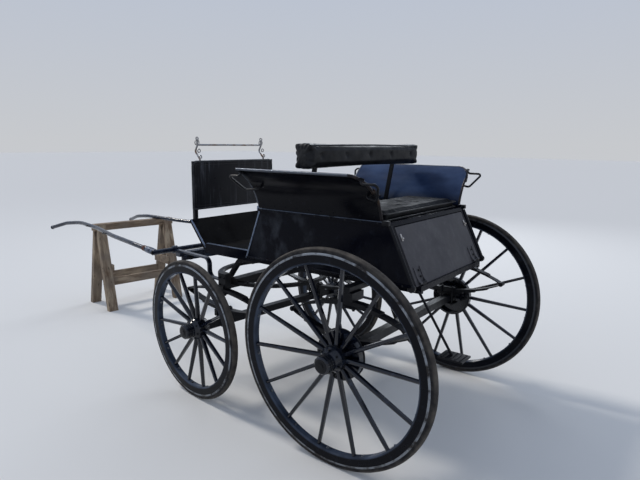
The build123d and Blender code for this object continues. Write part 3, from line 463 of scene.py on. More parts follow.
# Axles and springs: forged beds and tempered leaves, all painted black. Round-cornered clips
# go over each pack of leaves and through a plate below the bed, with nuts under it.
for node in ("rear_axle", "front_axle", "front_springs_lower", "front_springs_upper", "rear_springs_lower",
             "rear_springs_upper", "rear_bearer", "king_pin", "back_irons", "rear_step", "flare_handles"):
    wear(node, iron_paint)


def tube(mesh, route, radius, sides=10, closed=False):
    """A round bar along the route's points, with its ends capped."""
    route = [Vector(p) for p in route]
    count = len(route)
    rows, side_way = [], None
    for index, point in enumerate(route):
        before = route[index - 1] if (closed or index) else point
        after = route[(index + 1) % count] if (closed or index + 1 < count) else point
        run = (after - before).normalized()
        if side_way is None:
            side_way = run.cross(Vector((0, 0, 1)) if abs(run.z) < 0.9 else Vector((0, 1, 0)))
        side_way = (side_way - run * side_way.dot(run)).normalized()
        other = run.cross(side_way)
        rows.append([mesh.verts.new(point + radius * (math.cos(a) * side_way + math.sin(a) * other))
                     for a in (2 * math.pi * s / sides for s in range(sides))])
    for index in range(count if closed else count - 1):
        here, there = rows[index], rows[(index + 1) % count]
        for s in range(sides):
            mesh.faces.new((here[s], here[(s + 1) % sides], there[(s + 1) % sides], there[s]))
    if not closed:
        mesh.faces.new(rows[0][::-1])
        mesh.faces.new(rows[-1])


def block(mesh, place, middle, size, edge=0.002):
    """A block with rounded edges: its middle and size in the place's frame."""
    shape = place @ Matrix.Translation(middle) @ Matrix.Diagonal((*size, 1))
    corners = bmesh.ops.create_cube(mesh, size=1, matrix=shape)["verts"]
    edges = list({e for v in corners for e in v.link_edges})
    bmesh.ops.bevel(mesh, geom=edges, offset=edge, segments=2, profile=0.6, affect="EDGES")


leaf_width = 0.042
clip_x, clip_half, clip_wire = 0.036, 0.029, 0.0045
# frame, offset, half span, lower seat, bow, carrying body
spring_table = {
    "rear": (body_frame, 0.575, 0.335, 0.600, 0.078, "carriage"),
    "front": (fore_frame, 0.410, 0.360, 0.500, 0.051, "fore_carriage"),
}
for end, (place, offset, half_span, lower_seat, bow, body) in spring_table.items():
    clips = bmesh.new()
    clip_nuts, eye_bolts = [], []
    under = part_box(f"{end}_axle")[0].z - 0.008
    for side in (1, -1):
        for x in (-clip_x, clip_x):
            low, high = side * offset - clip_half, side * offset + clip_half
            tube(clips, [place @ Vector((x, y, z)) for y, z in (
                (low, under), (low, lower_seat + 0.004), (low + 0.008, lower_seat + 0.011),
                (high - 0.008, lower_seat + 0.011), (high, lower_seat + 0.004), (high, under))], clip_wire)
            for y in (low, high):
                clip_nuts.append((place @ Vector((x, y, under + 0.001)), (0, 0, -1)))
        block(clips, place, (0, side * offset, lower_seat + 0.004), (0.105, 0.044, 0.009), 0.002)
        block(clips, place, (0, side * offset, under + 0.004), (0.104, 0.074, 0.007), 0.002)
        block(clips, place, (0, side * offset, lower_seat + 2 * bow - 0.004), (0.100, 0.060, 0.008), 0.002)
        eye_z = lower_seat + bow
        for x in (-half_span, half_span):
            for way in (1, -1):
                eye_bolts.append((place @ Vector((x, side * offset + way * leaf_width / 2, eye_z)),
                                  place.to_3x3() @ Vector((0, way, 0))))
        for x in (-clip_x, clip_x):
            for y in (-0.02, 0.02):
                clip_nuts.append((place @ Vector((x, side * offset + y, lower_seat + 2 * bow - 0.008)), (0, 0, -1)))
    settle(clips, f"{end}_spring_clips", iron_paint, body, 40)
    bolts(f"{end}_clip_nuts", clip_nuts, iron_paint, body, radius=0.007, height=0.007, washer=0.0095)
    bolts(f"{end}_spring_eye_bolts", eye_bolts, iron_paint, body, radius=0.008, height=0.006, washer=0.012)

# Fifth wheel: two flat iron rings that turn on each other, greased between, with the bolsters'
# bolts through them. The lower one turns with the front axle.
for node in ("lower_fifth_wheel", "upper_fifth_wheel", "scroll_irons"):
    wear(node, iron_paint)
ring_radius = 0.350
ring_top = 0.664
ring_bolts = []
for turn in (50, 75, 105, 130, 230, 255, 285, 310):
    a = math.radians(turn)
    spot = Vector((wheelbase + ring_radius * math.cos(a), ring_radius * math.sin(a), ring_top))
    ring_bolts.append((body_frame @ spot, (0, 0, 1)))
bolts("upper_ring_bolts", ring_bolts, iron_paint, "carriage", radius=0.006, height=0.005, washer=0.009)
block_bolts = []
for side in (1, -1):
    for x in (-0.020, 0.020):
        for z in (0.645, 0.690):
            block_bolts.append((fore_frame @ Vector((x, side * 0.426, z)), fore_frame.to_3x3() @ Vector((0, side, 0))))
bolts("bolster_bolts", block_bolts, iron_paint, "fore_carriage", radius=0.006, height=0.005, washer=0.0095)

# Body panels: thin boards under black coach paint that mirrors the sky, dusted grey below.
# Half-round mouldings cover their edges.
body_paint = coach_black("black body paint", deep=(0.0030, 0.0034, 0.0068), scuffed=(0.009, 0.011, 0.018),
                         dust=(0.03, 0.033, 0.038), scuff_from=0.58, dust_from=0.62, gloss=(0.14, 0.36), bump=0.05,
                         coat=0.0, specular=0.07)
for node in ("chassis_rails", "body_floor", "body_front", "seat_deck"):
    wear(node, body_paint)
foot_paint = coach_black("trodden brown black paint", deep=(0.0036, 0.003, 0.003), scuffed=(0.012, 0.0105, 0.0095),
                         dust=(0.03, 0.027, 0.024), dust_from=0.6, gloss=(0.4, 0.7), coat=0.0, specular=0.05)
for node in ("foot_floor", "toe_board"):
    wear(node, foot_paint)
for side, side_name in both_sides:
    splashed = body_paint.copy()
    splashed.name = f"splashed body paint {side_name}"
    tree = splashed.node_tree
    near_wheel = span(tree, reach_from(tree, (rear_axle_x + 0.52, side * 0.445, 1.0)), 0.30, 0.04)
    patches = span(tree, noise(tree, 8, 7, (1, 1, 0.7)), 0.44, 0.7)
    tint(splashed, product(tree, near_wheel, patches), (0.060, 0.068, 0.082))
    wear(f"body_side_{side_name}", splashed)


def body_point(x, y, z):
    """Millimetres from the ground under the rear axle."""
    return body_frame @ Vector((x / 1000, y / 1000, z / 1000))


part_frame = Matrix.Identity(4)
body_half = 445
body_bottom, body_top = 850, 1140
front_top_x, front_bottom_x = 690, 800
rear_top_x, rear_bottom_x = -115, -254


def slope_x(top_x, bottom_x, z):
    return top_x + (bottom_x - top_x) * (body_top - z) / (body_top - body_bottom)


# The side panels' front edges carry a half-round strip up to a bracket under the flare, coloured bright blue grey as a
# painted highlight.
highlight_strip_steel = bright_steel("strip steel with painted highlight", base=(0.17, 0.21, 0.29), rust=(0.03, 0.035, 0.05))
for side, side_name in both_sides:
    strip = bmesh.new()
    low_z, high_z = body_bottom + 4, body_top - 10
    tube(strip, [body_point(slope_x(front_top_x, front_bottom_x, z) - 1, side * (body_half + 2), z)
                 for z in (low_z, (low_z + high_z) / 2, high_z)], 0.0052, 10)
    block(strip, part_frame, body_point(front_top_x + 2, side * (body_half + 5), body_top + 6),
          (0.026, 0.013, 0.028), 0.004)
    settle(strip, f"side_strip_{side_name}", highlight_strip_steel, "carriage", 40)
    # A thin light blue-grey tube along the top of the moulding: a painted highlight.
    rub_and_highlight = bmesh.new()
    tube(rub_and_highlight, [body_point(rear_top_x + 10, side * (body_half + 13), body_top + 7),
               body_point((front_top_x + rear_top_x) / 2, side * (body_half + 13), body_top + 7),
               body_point(front_top_x - 4, side * (body_half + 13), body_top + 7)], 0.0032, 10)
    settle(rub_and_highlight, f"moulding_line_{side_name}",
           bright_steel("moulding paint with painted highlight", base=(0.06, 0.075, 0.105), rust=(0.02, 0.022, 0.03), rust_from=0.55),
           "carriage", 40)
    screws = [(body_point(rear_top_x + 45 + step * 92, side * (body_half + 14), body_top), (0, side, 0))
              for step in range(9)]
    screws += [(body_point(rear_bottom_x + 45 + step * 105, side * (body_half + 7.2), body_bottom + 10),
                (0, side, 0)) for step in range(10)]
    bolts(f"side_screws_{side_name}", screws, iron_paint, "carriage", radius=0.0036, height=0.0022, washer=0.0048,
          sides=10)

# Rear corner irons: a dark half-round bar up the rear edge of each side panel, with a rounded
# lug at its foot that takes the knocks and a bracket at its head.
for side, side_name in both_sides:
    corner_iron = bmesh.new()
    foot_z = body_bottom - 4
    tube(corner_iron, [body_point(slope_x(rear_top_x, rear_bottom_x, z) - 1, side * (body_half - 9), z)
                       for z in (foot_z, (foot_z + body_top) / 2, body_top - 14)], 0.0095, 12)
    lug = Matrix.Translation(body_point(rear_bottom_x + 5, side * (body_half - 9), body_bottom - 1))
    lathe(corner_iron, lug @ Matrix.Rotation(math.pi / 2, 4, "X"),
          [(0.0, -0.012), (0.015, -0.012), (0.018, -0.008), (0.018, 0.008), (0.015, 0.012), (0.0, 0.012)], 28)
    block(corner_iron, part_frame, body_point(rear_top_x + 4, side * (body_half + 6), body_top + 2),
          (0.036, 0.022, 0.024), 0.004)
    settle(corner_iron, f"rear_corner_iron_{side_name}", iron_paint, "carriage", 40)

# Flares: rolled sheet panels above the seats, black outside, with a painted sky reflection: faces that turn upwards are
# tinted blue.
# A wired edge runs round them, and flush rivets hold each to the moulding.
flare_paint = coach_black("black flare paint", deep=(0.0024, 0.0026, 0.0046), scuffed=(0.006, 0.0075, 0.012),
                          dust=(0.014, 0.015, 0.018), scuff_from=0.6, dust_from=0.68, gloss=(0.14, 0.26), bump=0.02,
                          coat=0.04, specular=0.07)
flare_tree = flare_paint.node_tree
# Painted sky reflection: faces whose normal turns upwards are tinted blue, in patches.
facing = add_node(flare_tree, "ShaderNodeNewGeometry", {})
upness = add_node(flare_tree, "ShaderNodeSeparateXYZ", {0: facing.outputs["Normal"]})
painted_sky_reflection_share = span(flare_tree, upness.outputs["Z"], 0.12, 0.4, 0, 0.85)
painted_sky_reflection_blue = blend_colours(flare_tree, span(flare_tree, noise(flare_tree, 5, 5, (0.5, 1, 1)), 0.35, 0.65),
                           (0.011, 0.021, 0.056), (0.050, 0.080, 0.160))
tint(flare_paint, painted_sky_reflection_share, painted_sky_reflection_blue)
wear("flare_left", flare_paint)
wear("flare_right", flare_paint)
flare_foot, flare_lip = (457, 1148), (622, 1361)
flare_start_tilt = 10
rise = Vector((flare_lip[0] - flare_foot[0], flare_lip[1] - flare_foot[1]))
half_turn = math.degrees(math.atan2(rise.x, rise.y)) - flare_start_tilt
roll = rise.length / (2 * math.sin(math.radians(half_turn)))
roll_middle = Vector((flare_foot[0] + roll * math.cos(math.radians(flare_start_tilt)),
                      flare_foot[1] - roll * math.sin(math.radians(flare_start_tilt))))


def flare_place(share, stand=-5):
    """(half width, height) at a share of the rise, standing off the outer face, in millimetres."""
    a = math.radians(180 - flare_start_tilt - share * 2 * half_turn)
    return roll_middle.x + (roll - stand) * math.cos(a), roll_middle.y + (roll - stand) * math.sin(a)


flare_rear_x, flare_corner = -87, 80
# The wired edge is lighter blue grey along the front and top, a painted sky reflection; down the rear edge it takes a
# darker paint flecked with brown rust.
sky_reflection_lip_finish = bright_steel("lip paint with painted sky reflection", base=(0.075, 0.085, 0.105), rust=(0.05, 0.04, 0.035), rust_from=0.6)
browned_finish = bright_steel("browned edge paint", base=(0.022, 0.020, 0.022), rust=(0.075, 0.050, 0.035),
                              rust_from=0.52)
for side, side_name in both_sides:
    edge = bmesh.new()
    line = []
    for step in range(9):
        half, z = flare_place(0.10 + 0.90 * step / 8)
        line.append(body_point(front_top_x, side * half, z))
    top_half, top_z = flare_place(1.0)
    for step in range(1, 6):
        x = front_top_x + (flare_rear_x + flare_corner - front_top_x) * step / 5
        line.append(body_point(x, side * top_half, top_z))
    tube(edge, line, 0.0072, 12)
    settle(edge, f"flare_edge_{side_name}", sky_reflection_lip_finish, "carriage", 60)
    edge, line = bmesh.new(), line[-1:]
    for step in range(1, 7):
        a = math.radians(90 + 90 * step / 6)
        x = flare_rear_x + flare_corner + flare_corner * math.cos(a)
        drop = top_z - flare_corner + flare_corner * math.sin(a)
        share = (drop - flare_foot[1]) / (top_z - flare_foot[1])
        half, _ = flare_place(share)
        line.append(body_point(x, side * half, drop))
    for share in (0.6, 0.45, 0.3, 0.15, 0.02):
        half, z = flare_place(share)
        line.append(body_point(flare_rear_x, side * half, z))
    tube(edge, line, 0.0070, 12)
    settle(edge, f"flare_rear_edge_{side_name}", browned_finish, "carriage", 60)
    foot_half, foot_z = flare_place(0.07, 0)
    rivets = [(body_point(flare_rear_x + 36 + step * 78, side * foot_half, foot_z), (0, side, -0.1))
              for step in range(10)]
    bolts(f"flare_rivets_{side_name}", rivets, flare_paint, "carriage", radius=0.0042, height=0.0008,
          washer=0.0046, sides=12)

# Handles' rosettes: each foot of a grab handle ends in a small round plate on the flare.
plates = []
for side in (1, -1):
    for edge_x, way, top_foot, low_foot in ((front_top_x, 1, 16, 80), (flare_rear_x, -1, 20, 34)):
        for share, foot in ((0.92, top_foot), (0.52, low_foot)):
            half, z = flare_place(share, 0)
            half_off, z_off = flare_place(share, 10)
            plates.append((body_point(edge_x - way * foot, side * half, z), (0, side * (half_off - half), z_off - z)))
bolts("handle_rosettes", plates, iron_paint, "carriage", radius=0.0085, height=0.004, washer=0.014, sides=16)

# Tailboard: a flat panel that lets down behind, its paint weathered to a dull grey. Two worn
# drop latches hold it at the top, and round-headed screws hold its hinge straps.
tail_paint = coach_black("weathered tailboard paint", deep=(0.060, 0.058, 0.064), scuffed=(0.076, 0.074, 0.080),
                         dust=(0.095, 0.092, 0.092), scuff_from=0.5, dust_from=0.5, gloss=(0.5, 0.75), bump=0.06,
                         coat=0.0)
wear("tailboard", tail_paint)
tail_out = Vector((-(body_top - body_bottom), 0, rear_top_x - rear_bottom_x)).normalized()
tail_turned = Matrix((Vector((0, 1, 0)), tail_out.cross(Vector((0, 1, 0))), tail_out)).transposed().to_4x4()


def tail_point(y, z, stand=0.0):
    return body_point(slope_x(rear_top_x, rear_bottom_x, z), y, z) + tail_out * stand / 1000


strap_bolts = []
for side in (1, -1):
    for z in (886, 914):
        strap_bolts.append((tail_point(side * 330, z, 5.2), tail_out))
bolts("tailboard_strap_bolts", strap_bolts, iron_paint, "tailboard", radius=0.0045, height=0.002, washer=0.006,
      sides=12)
latches = bmesh.new()
for y, z in ((372, 1068), (-372, 1056)):
    spot = Matrix.Translation(tail_point(y, z, 0)) @ tail_turned
    block(latches, spot, (0, 0, 0.003), (0.011, 0.036, 0.004), 0.0015)
    lathe(latches, spot @ Matrix.Translation((0, 0.006, 0)), [
        (0.0, 0.003), (0.004, 0.003), (0.0035, 0.006), (0.0055, 0.009), (0.0045, 0.012), (0.0, 0.013)], 20)
settle(latches, "tailboard_latches", bright_steel("worn latch steel", base=(0.55, 0.53, 0.5)), "tailboard",
       40)

# Leather: black hide over horsehair, grey in patches where the grain is polished by use.


def hide(name, deep=(0.006, 0.0062, 0.0072), polished=(0.016, 0.017, 0.0195), coat=0.05, specular=0.16):
    finish, tree, shader = new_finish(name, coat=coat, coat_roughness=0.35, specular=specular)
    coord = add_node(tree, "ShaderNodeTexCoord", {})
    grain = add_node(tree, "ShaderNodeTexVoronoi", {"Vector": coord.outputs["Object"], "Scale": 320})
    rub_and_highlight = span(tree, noise(tree, 12, 6), 0.42, 0.72)
    tree.links.new(blend_colours(tree, rub_and_highlight, deep, polished), shader.inputs["Base Color"])
    tree.links.new(span(tree, noise(tree, 20, 4), 0.3, 0.7, 0.34, 0.6), shader.inputs["Roughness"])
    raise_bumps(tree, shader, grain.outputs["Distance"], 0.25, 0.0012)
    return finish


leather = hide("black hide")
# The cushions take a darker, duller copy of the hide: painted shade on their sunlit tops.
shaded_seat_leather = hide("black seat hide darkened as painted shade", (0.0035, 0.0036, 0.0045), (0.010, 0.0105, 0.013), coat=0.0, specular=0.05)

# Seat cushions and back rest: stuffed leather, blown up by a short pressure simulation and held
# flat where they rest. Buttons pull the stuffing in, and a piped seam runs round each edge.


def stuffed(name, low, high, swell, buttons, node, flat_below, trim, dip, finish, bulge=0.0):
    """Corners in metres; swell caps how far a point may move; buttons are (place, direction) pairs
    and dip is how deep they draw the stuffing in; finish is the hide. The ends along Y bulge by
    that much all round and are gathered in folds towards their middles."""
    low, high = Vector(low), Vector(high)
    shape = bmesh.new()
    block(shape, part_frame, (low + high) / 2, high - low, trim)
    start = bpy.data.meshes.new(name + "_start")
    shape.to_mesh(start)
    shape.free()
    pad = add_object(name + "_start", start)
    voxels = pad.modifiers.new("voxels", "REMESH")
    voxels.mode = "VOXEL"
    voxels.voxel_size = 0.006
    bpy.context.view_layer.update()
    even = baked(pad)
    bpy.data.objects.remove(pad)
    pad = add_object(name, even)
    rest = [v.co.copy() for v in even.vertices]
    cloth = pad.modifiers.new("stuffing", "CLOTH")
    cloth.settings.use_pressure = True
    cloth.settings.uniform_pressure_force = 4
    cloth.settings.effector_weights.gravity = 0
    cloth.settings.quality = 4
    cloth.settings.mass = 0.3
    cloth.collision_settings.use_collision = False
    cloth.point_cache.frame_start = 1
    cloth.point_cache.frame_end = 20
    for frame_number in range(1, 21):
        scene.frame_set(frame_number)
    blown = baked(pad)
    pad.modifiers.clear()
    pad.data = blown
    scene.frame_set(1)
    mid_x, mid_z = (low.x + high.x) / 2, (low.z + high.z) / 2
    half_x, half_z = (high.x - low.x) / 2, (high.z - low.z) / 2
    for vertex, home in zip(blown.vertices, rest):
        move = vertex.co - home
        if move.length > swell:
            move = move.normalized() * swell
        place = home + move
        for spot, out in buttons:
            out = Vector(out)
            gap = place - Vector(spot)
            depth = gap.dot(out)
            wide = (gap - out * depth).length
            if abs(depth) < 0.05 and wide < 0.09:
                place -= out * (dip * math.exp(-(wide / 0.014) ** 2) + 0.3 * dip * math.exp(-(wide / 0.045) ** 2))
        if bulge:
            at_end = math.exp(-(min(high.y - place.y, place.y - low.y) / 0.040) ** 2)
            place.x += bulge * at_end * (place.x - mid_x) / half_x
            place.z += bulge * at_end * (place.z - mid_z) / half_z
            wide, tall = (place.x - mid_x) / half_x, (place.z - mid_z) / half_z
            turn = math.atan2(tall, wide)
            fold = (1 - abs(math.sin(5.5 * turn + 0.7 * math.sin(3 * turn)))) ** 2
            gather = 1.4 * bulge * at_end * fold * min(1, 1.6 * math.hypot(wide, tall))
            place.y -= math.copysign(gather, place.y)
            place.x -= 0.5 * gather * wide
            place.z -= 0.5 * gather * tall
        place.z = max(place.z, flat_below - bulge)
        vertex.co = place
    blown.shade_smooth()
    finer = pad.modifiers.new("finer", "SUBSURF")
    finer.levels = finer.render_levels = 1
    pad.data.materials.clear()
    pad.data.materials.append(finish)
    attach(pad, "carriage")
    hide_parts(node)


def piping(name, low, high, z, radius=0.0042):
    """A piped seam round a cushion at one height."""
    cord_mesh = bmesh.new()
    corner = 0.018
    route = []
    for mx, my, start_turn in ((high[0], high[1], 0), (low[0], high[1], 90), (low[0], low[1], 180),
                               (high[0], low[1], 270)):
        cx = mx - math.copysign(corner, mx - (low[0] + high[0]) / 2)
        cy = my - math.copysign(corner, my - (low[1] + high[1]) / 2)
        for step in range(6):
            a = math.radians(start_turn + 18 * step)
            route.append(Vector((cx + corner * math.cos(a), cy + corner * math.sin(a), z)))
    tube(cord_mesh, route, radius, 8, closed=True)
    settle(cord_mesh, name, leather, "carriage", 60)


pad_inset = 0.010
button_line = (481, 264, 38, -195, -433)
tufts_across = 4
for node in ("seat_cushion_rear", "seat_cushion_front"):
    low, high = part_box(node)
    tufts = []
    for row in (0.34, 0.68):
        for step in range(tufts_across):
            y = low.y + (high.y - low.y) * (step + 0.5) / tufts_across
            tufts.append(((low.x + (high.x - low.x) * row, y, high.z + 0.004), (0, 0, 1)))
    stuffed(node + "_hide", low + Vector((pad_inset, pad_inset, 0.001)), high - Vector((pad_inset, pad_inset, 0.006)),
            0.014, tufts, node, low.z + 0.0005, 0.010, 0.009, shaded_seat_leather)
    bolts(node + "_buttons", [((x, y, z - 0.020), out) for (x, y, z), out in tufts], leather, "carriage",
          radius=0.006, height=0.004, washer=0.010, sides=14)
    piping(node + "_piping", (low.x + 0.006, low.y + 0.006), (high.x - 0.006, high.y - 0.006), high.z - 0.010)
    piping(node + "_foot_piping", (low.x + 0.006, low.y + 0.006), (high.x - 0.006, high.y - 0.006), low.z + 0.006)

low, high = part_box("back_rest")
far_end, near_end = low.y + 0.046, high.y - 0.008
rest_tufts = []
for way, x in ((-1, low.x), (1, high.x)):
    for y in button_line:
        rest_tufts.append(((x + way * 0.002, y / 1000, (low.z + high.z) / 2), (way, 0, 0)))
stuffed("back_rest_hide", (low.x + 0.004, far_end, low.z - 0.006), (high.x - 0.004, near_end, high.z - 0.001), 0.011,
        rest_tufts, "back_rest", low.z - 0.0065, 0.010, 0.008, leather, bulge=0.005)
# The piping along the rest's top takes a lighter blue-grey hide, a painted highlight along that edge.
piped = bmesh.new()
for x in (low.x + 0.004, high.x - 0.004):
    tube(piped, [(x, far_end + 0.010, high.z - 0.006), (x, 0, high.z - 0.002), (x, near_end - 0.010, high.z - 0.006)],
         0.0042, 8)
settle(piped, "back_rest_piping", hide("piping hide with painted highlight", (0.009, 0.010, 0.013), (0.040, 0.046, 0.058), specular=0.2),
       "carriage", 60)
bolts("back_rest_buttons", [((x - out_x * 0.009, y, z), (out_x, 0, 0)) for (x, y, z), (out_x, _, _) in rest_tufts],
      leather, "carriage", radius=0.006, height=0.004, washer=0.010, sides=14)

# Back irons: two flat bars that lean back from the deck to the rest, bolted through their feet.
iron_bolts = []
for side in (1, -1):
    for x in (370, 400):
        iron_bolts.append((body_point(x, side * 400, 1148), (0, 0, 1)))
    for z in (1200, 1330):
        iron_bolts.append((body_point(383 - (z - 1175) * 0.175, side * 405, z), (0, side, 0)))
bolts("back_iron_bolts", iron_bolts, iron_paint, "carriage", radius=0.005, height=0.004, washer=0.007)

# Dashboard: patent leather laced over an iron frame, scratched and streaked from top to bottom,
# with a bound edge and a row of stitches inside it.
dash_hide, dash_tree, dash_shader = new_finish("streaked dashboard leather", coat=0.08, coat_roughness=0.25,
                                               specular=0.18)
streaks = span(dash_tree, noise(dash_tree, 34, 8, (1, 1, 0.07), roughness=0.72), 0.53, 0.64)
patches = span(dash_tree, noise(dash_tree, 3.0, 3), 0.4, 0.62)
dash_grime = product(dash_tree, streaks, patches)
dash_tree.links.new(blend_colours(dash_tree, dash_grime, (0.0065, 0.007, 0.0095), (0.075, 0.08, 0.095)),
                    dash_shader.inputs["Base Color"])
dash_tree.links.new(span(dash_tree, noise(dash_tree, 8, 4), 0.3, 0.7, 0.26, 0.52), dash_shader.inputs["Roughness"])
raise_bumps(dash_tree, dash_shader, noise(dash_tree, 90, 4), 0.15, 0.001)
wear("dashboard", dash_hide)
dash_half, dash_bottom, dash_top, dash_x, dash_thickness = 371, 1076, 1382, 1335, 12
# The binding's hide is lighter than the panel's: a painted highlight along the edge.
binding = bmesh.new()
bound = []
for y, z, start_turn, corner in ((dash_half - 34, dash_top - 34, 0, 30), (34 - dash_half, dash_top - 34, 90, 30),
                                 (8 - dash_half, dash_bottom + 8, 180, 4), (dash_half - 8, dash_bottom + 8, 270, 4)):
    for step in range(7):
        a = math.radians(start_turn + 15 * step)
        bound.append(body_point(dash_x + dash_thickness / 2, y + corner * math.cos(a), z + corner * math.sin(a)))
tube(binding, bound, 0.0078, 10, closed=True)
settle(binding, "dashboard_binding", hide("dashboard binding", (0.018, 0.019, 0.022), (0.07, 0.073, 0.08)),
       "carriage", 60)


def stitch_tree():
    """Short stitches at even steps along every edge chain of the seed mesh."""
    tree, entry = growth_tree("stitches", (("Step", "Float", 0.009), ("Stitch length", "Float", 0.006),
                                           ("Thread radius", "Float", 0.001)))
    chain = add_node(tree, "GeometryNodeMeshToCurve", {"Mesh": entry["Geometry"]})
    even = add_node(tree, "GeometryNodeResampleCurve", {"Curve": chain.outputs["Curve"], "Length": entry["Step"]},
                    mode="LENGTH")
    thread = add_node(tree, "GeometryNodeMeshCylinder", {"Vertices": 6, "Radius": entry["Thread radius"],
                                                         "Depth": entry["Stitch length"]})
    run = add_node(tree, "GeometryNodeInputTangent", {})
    plant(tree, entry, even.outputs["Curve"], thread.outputs["Mesh"], run.outputs["Tangent"])
    return tree


stitches = stitch_tree()
thread_finish = hide("waxed thread", (0.045, 0.042, 0.04), (0.09, 0.085, 0.08))
seam = bpy.data.meshes.new("dashboard_seam")
seam_points, seam_edges = [], []
seam_inset = 22
for x in (dash_x - 0.5, dash_x + dash_thickness + 0.5):
    first = len(seam_points)
    for y, z in ((dash_half - seam_inset, dash_top - seam_inset), (seam_inset - dash_half, dash_top - seam_inset),
                 (seam_inset - dash_half, dash_bottom + seam_inset),
                 (dash_half - seam_inset, dash_bottom + seam_inset)):
        seam_points.append(tuple(body_point(x, y, z)))
    seam_edges += [(first + i, first + (i + 1) % 4) for i in range(4)]
seam.from_pydata(seam_points, seam_edges, [])
grow(stitches, seam, "dashboard_stitches", {"Step": 0.010, "Stitch length": 0.0065, "Thread radius": 0.0011,
                                            "Finish": thread_finish}, "carriage")

# Rein rail: plated round iron, pitted by rust, on two swan hooks.
wear("rein_rail", bright_steel("pitted rail plating", base=(0.30, 0.30, 0.31), rust_from=0.5))

curls = bmesh.new()
for side in (1, -1):
    for z, size, way in ((1498, 17, 1), (1446, 11, -1), (1408, 9, 1)):
        loop = []
        for step in range(14):
            a = math.radians(-60 + 330 * step / 13)
            loop.append(body_point(1378 - 0.35 * (1498 - z), side * 295 + way * size * math.cos(a),
                                   z + size * math.sin(a)))
        tube(curls, loop, 0.0034, 8)
settle(curls, "rein_hook_curls", bright_steel("hook plating", base=(0.36, 0.35, 0.34), rust_from=0.6), "carriage",
       60)

# Footwell: iron strips along the top edges of the foot rails and up the toe board, coloured bright blue grey as a
# painted highlight.
treads = bmesh.new()
for side in (1, -1):
    block(treads, part_frame, body_point((front_bottom_x + 1235) / 2 - 4, side * 361, 872.8),
          (0.425, 0.018, 0.004), 0.0015)
for side in (1, -1):
    foot, head = body_point(1235, side * 369, 846), body_point(1366, side * 369, 1010)
    tube(treads, [foot, foot.lerp(head, 0.5), head], 0.0050, 10)
settle(treads, "foot_rail_strips", highlight_strip_steel, "carriage", 40)

# Draught gear: painted shafts in iron sockets on a round bar, with leather wound at each
# mouth and a rubbed ferrule, and a swingletree with iron bands.
# The shafts, bars and draught irons take a blue-black paint whose blue-grey scuffs are partly real wear and partly a
# painted sky reflection.
shaft_paint_with_sky_reflection = coach_black("blue black shaft paint with painted sky reflection", deep=(0.006, 0.010, 0.022), scuffed=(0.038, 0.052, 0.085),
                          dust=(0.060, 0.068, 0.085), scuff_from=0.50, gloss=(0.18, 0.36), bump=0.03, coat=0.2)
for node in ("shaft_left", "shaft_right", "splinter_bar", "swingletree", "shaft_bar", "draught_irons"):
    wear(node, shaft_paint_with_sky_reflection)
ferrule_steel = bright_steel("worn ferrule paint", base=(0.13, 0.155, 0.21), rust=(0.02, 0.024, 0.035), rust_from=0.5)
wound_leather = hide("wound leather", (0.09, 0.035, 0.024), (0.16, 0.075, 0.05))
bar_x, bar_z, bar_half, shaft_half = 0.665, 0.757, 0.505, 0.482
for side, side_name in both_sides:
    start = Vector((bar_x, side * shaft_half, bar_z))
    way = (Vector((0.960, side * 0.492, 0.781)) - start).normalized()
    side_way = Vector((0, 0, 1)).cross(way).normalized()
    socket = Matrix((side_way, way.cross(side_way), way)).transposed().to_4x4()
    socket.translation = start
    socket = fore_frame @ socket
    ferrule = bmesh.new()
    lathe(ferrule, socket, [(0.0212, 0.018), (0.0232, 0.022), (0.0236, 0.060), (0.0230, 0.092), (0.0212, 0.096)], 40)
    settle(ferrule, f"shaft_ferrule_{side_name}", ferrule_steel, "shafts", 40)
    winding = bmesh.new()
    for turn in range(5):
        z = 0.116 + 0.0065 * turn
        lathe(winding, socket, [(0.0155, z - 0.0034), (0.0192, z - 0.002), (0.0198, z), (0.0192, z + 0.002),
                                (0.0155, z + 0.0034)], 32)
    settle(winding, f"shaft_winding_{side_name}", wound_leather, "shafts", 60)
    bolts(f"shaft_bar_nuts_{side_name}",
          [(fore_frame @ Vector((bar_x, side * bar_half, bar_z)), fore_frame.to_3x3() @ Vector((0, side, 0)))],
          iron_paint, "shafts", radius=0.010, height=0.008, washer=0.0135)

# Tug stops: two forged loops on the outside of each shaft hold the harness.
loops = bmesh.new()
for side in (1, -1):
    for x, half, z in ((1.50, 0.4177, 0.781), (1.95, 0.3491, 0.781)):
        centre = Vector((x, side * half, z))
        arc = []
        for step in range(9):
            a = math.pi * step / 8
            arc.append(fore_frame @ (centre + Vector((-0.03 * math.cos(a), side * (0.014 + 0.022 * math.sin(a)), 0))))
        tube(loops, arc, 0.0036, 8)
settle(loops, "shaft_loops", iron_paint, "shafts", 60)

bands = bmesh.new()
tree_x, tree_low, tree_top = 0.582, 0.6925, 0.7225
for y, width in ((0, 0.052), (0.265, 0.036), (-0.265, 0.036)):
    block(bands, fore_frame, (tree_x, y, (tree_low + tree_top) / 2), (width + 0.006, 0.026, 0.033), 0.002)
settle(bands, "swingletree_bands", iron_paint, "swingletree", 40)

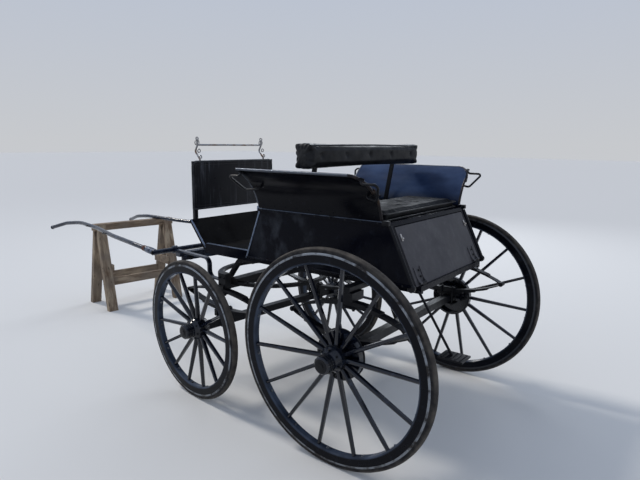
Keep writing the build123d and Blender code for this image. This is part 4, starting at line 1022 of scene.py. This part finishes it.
# Rear step: a small plate with raised bars, on its bent round stem.
grip = bmesh.new()
for step in range(5):
    block(grip, part_frame, body_point(-447 + (step - 2) * 22, 378.5, 557.5), (0.006, 0.088, 0.004), 0.0012)
settle(grip, "step_grip_bars", iron_paint, "carriage", 40)

# Trestle: rough softwood, weathered grey brown, with dark grain along each timber, dark cracks
# and nail heads at the joints.
timber_turn = math.radians(9)
trestle_frame = Matrix.Translation((rear_axle_x + 3.052, -0.337, 0)) @ Matrix.Rotation(-timber_turn, 4, "Z")


def weathered_wood(name, stretch, pale=(0.25, 0.185, 0.125), brown=(0.115, 0.072, 0.043), turn=0.0):
    finish, tree, shader = new_finish(name, roughness=0.85)
    grain = noise(tree, 30, 8, stretch, turn, 0.62)
    worn = blend_colours(tree, span(tree, grain, 0.38, 0.62), brown, pale)
    grey = span(tree, noise(tree, 5, 4, (1, 1, 1)), 0.42, 0.68)
    worn = blend_colours(tree, grey, worn, (0.16, 0.125, 0.095))
    cracks = span(tree, noise(tree, 52, 5, stretch, turn, 0.5), 0.30, 0.36, 1.0, 0.0)
    tree.links.new(blend_colours(tree, cracks, worn, (0.06, 0.045, 0.03)), shader.inputs["Base Color"])
    raise_bumps(tree, shader, grain, 0.5, 0.004)
    return finish


wear("trestle_beam", weathered_wood("beam timber", (1, 0.06, 1), turn=timber_turn))
wear("trestle_legs", weathered_wood("leg timber", (1, 1, 0.07), pale=(0.34, 0.27, 0.19)))
wear("trestle_braces", weathered_wood("brace timber", (1, 0.08, 1), pale=(0.32, 0.25, 0.175), turn=timber_turn))
nails = []
for end in (1, -1):
    for way in (1, -1):
        for z in (0.650, 0.672):
            nails.append((trestle_frame @ Vector((way * 0.037, end * 0.322, z + 0.05)),
                          trestle_frame.to_3x3() @ Vector((way, 0, 0))))
        for z in (0.235, 0.265, 0.350, 0.380):
            nails.append((trestle_frame @ Vector((way * 0.12, end * 0.362, z)),
                          trestle_frame.to_3x3() @ Vector((0, end, 0))))
bolts("trestle_nails", nails, iron_paint, "carriage", radius=0.0032, height=0.0012, washer=0.0042, sides=10)
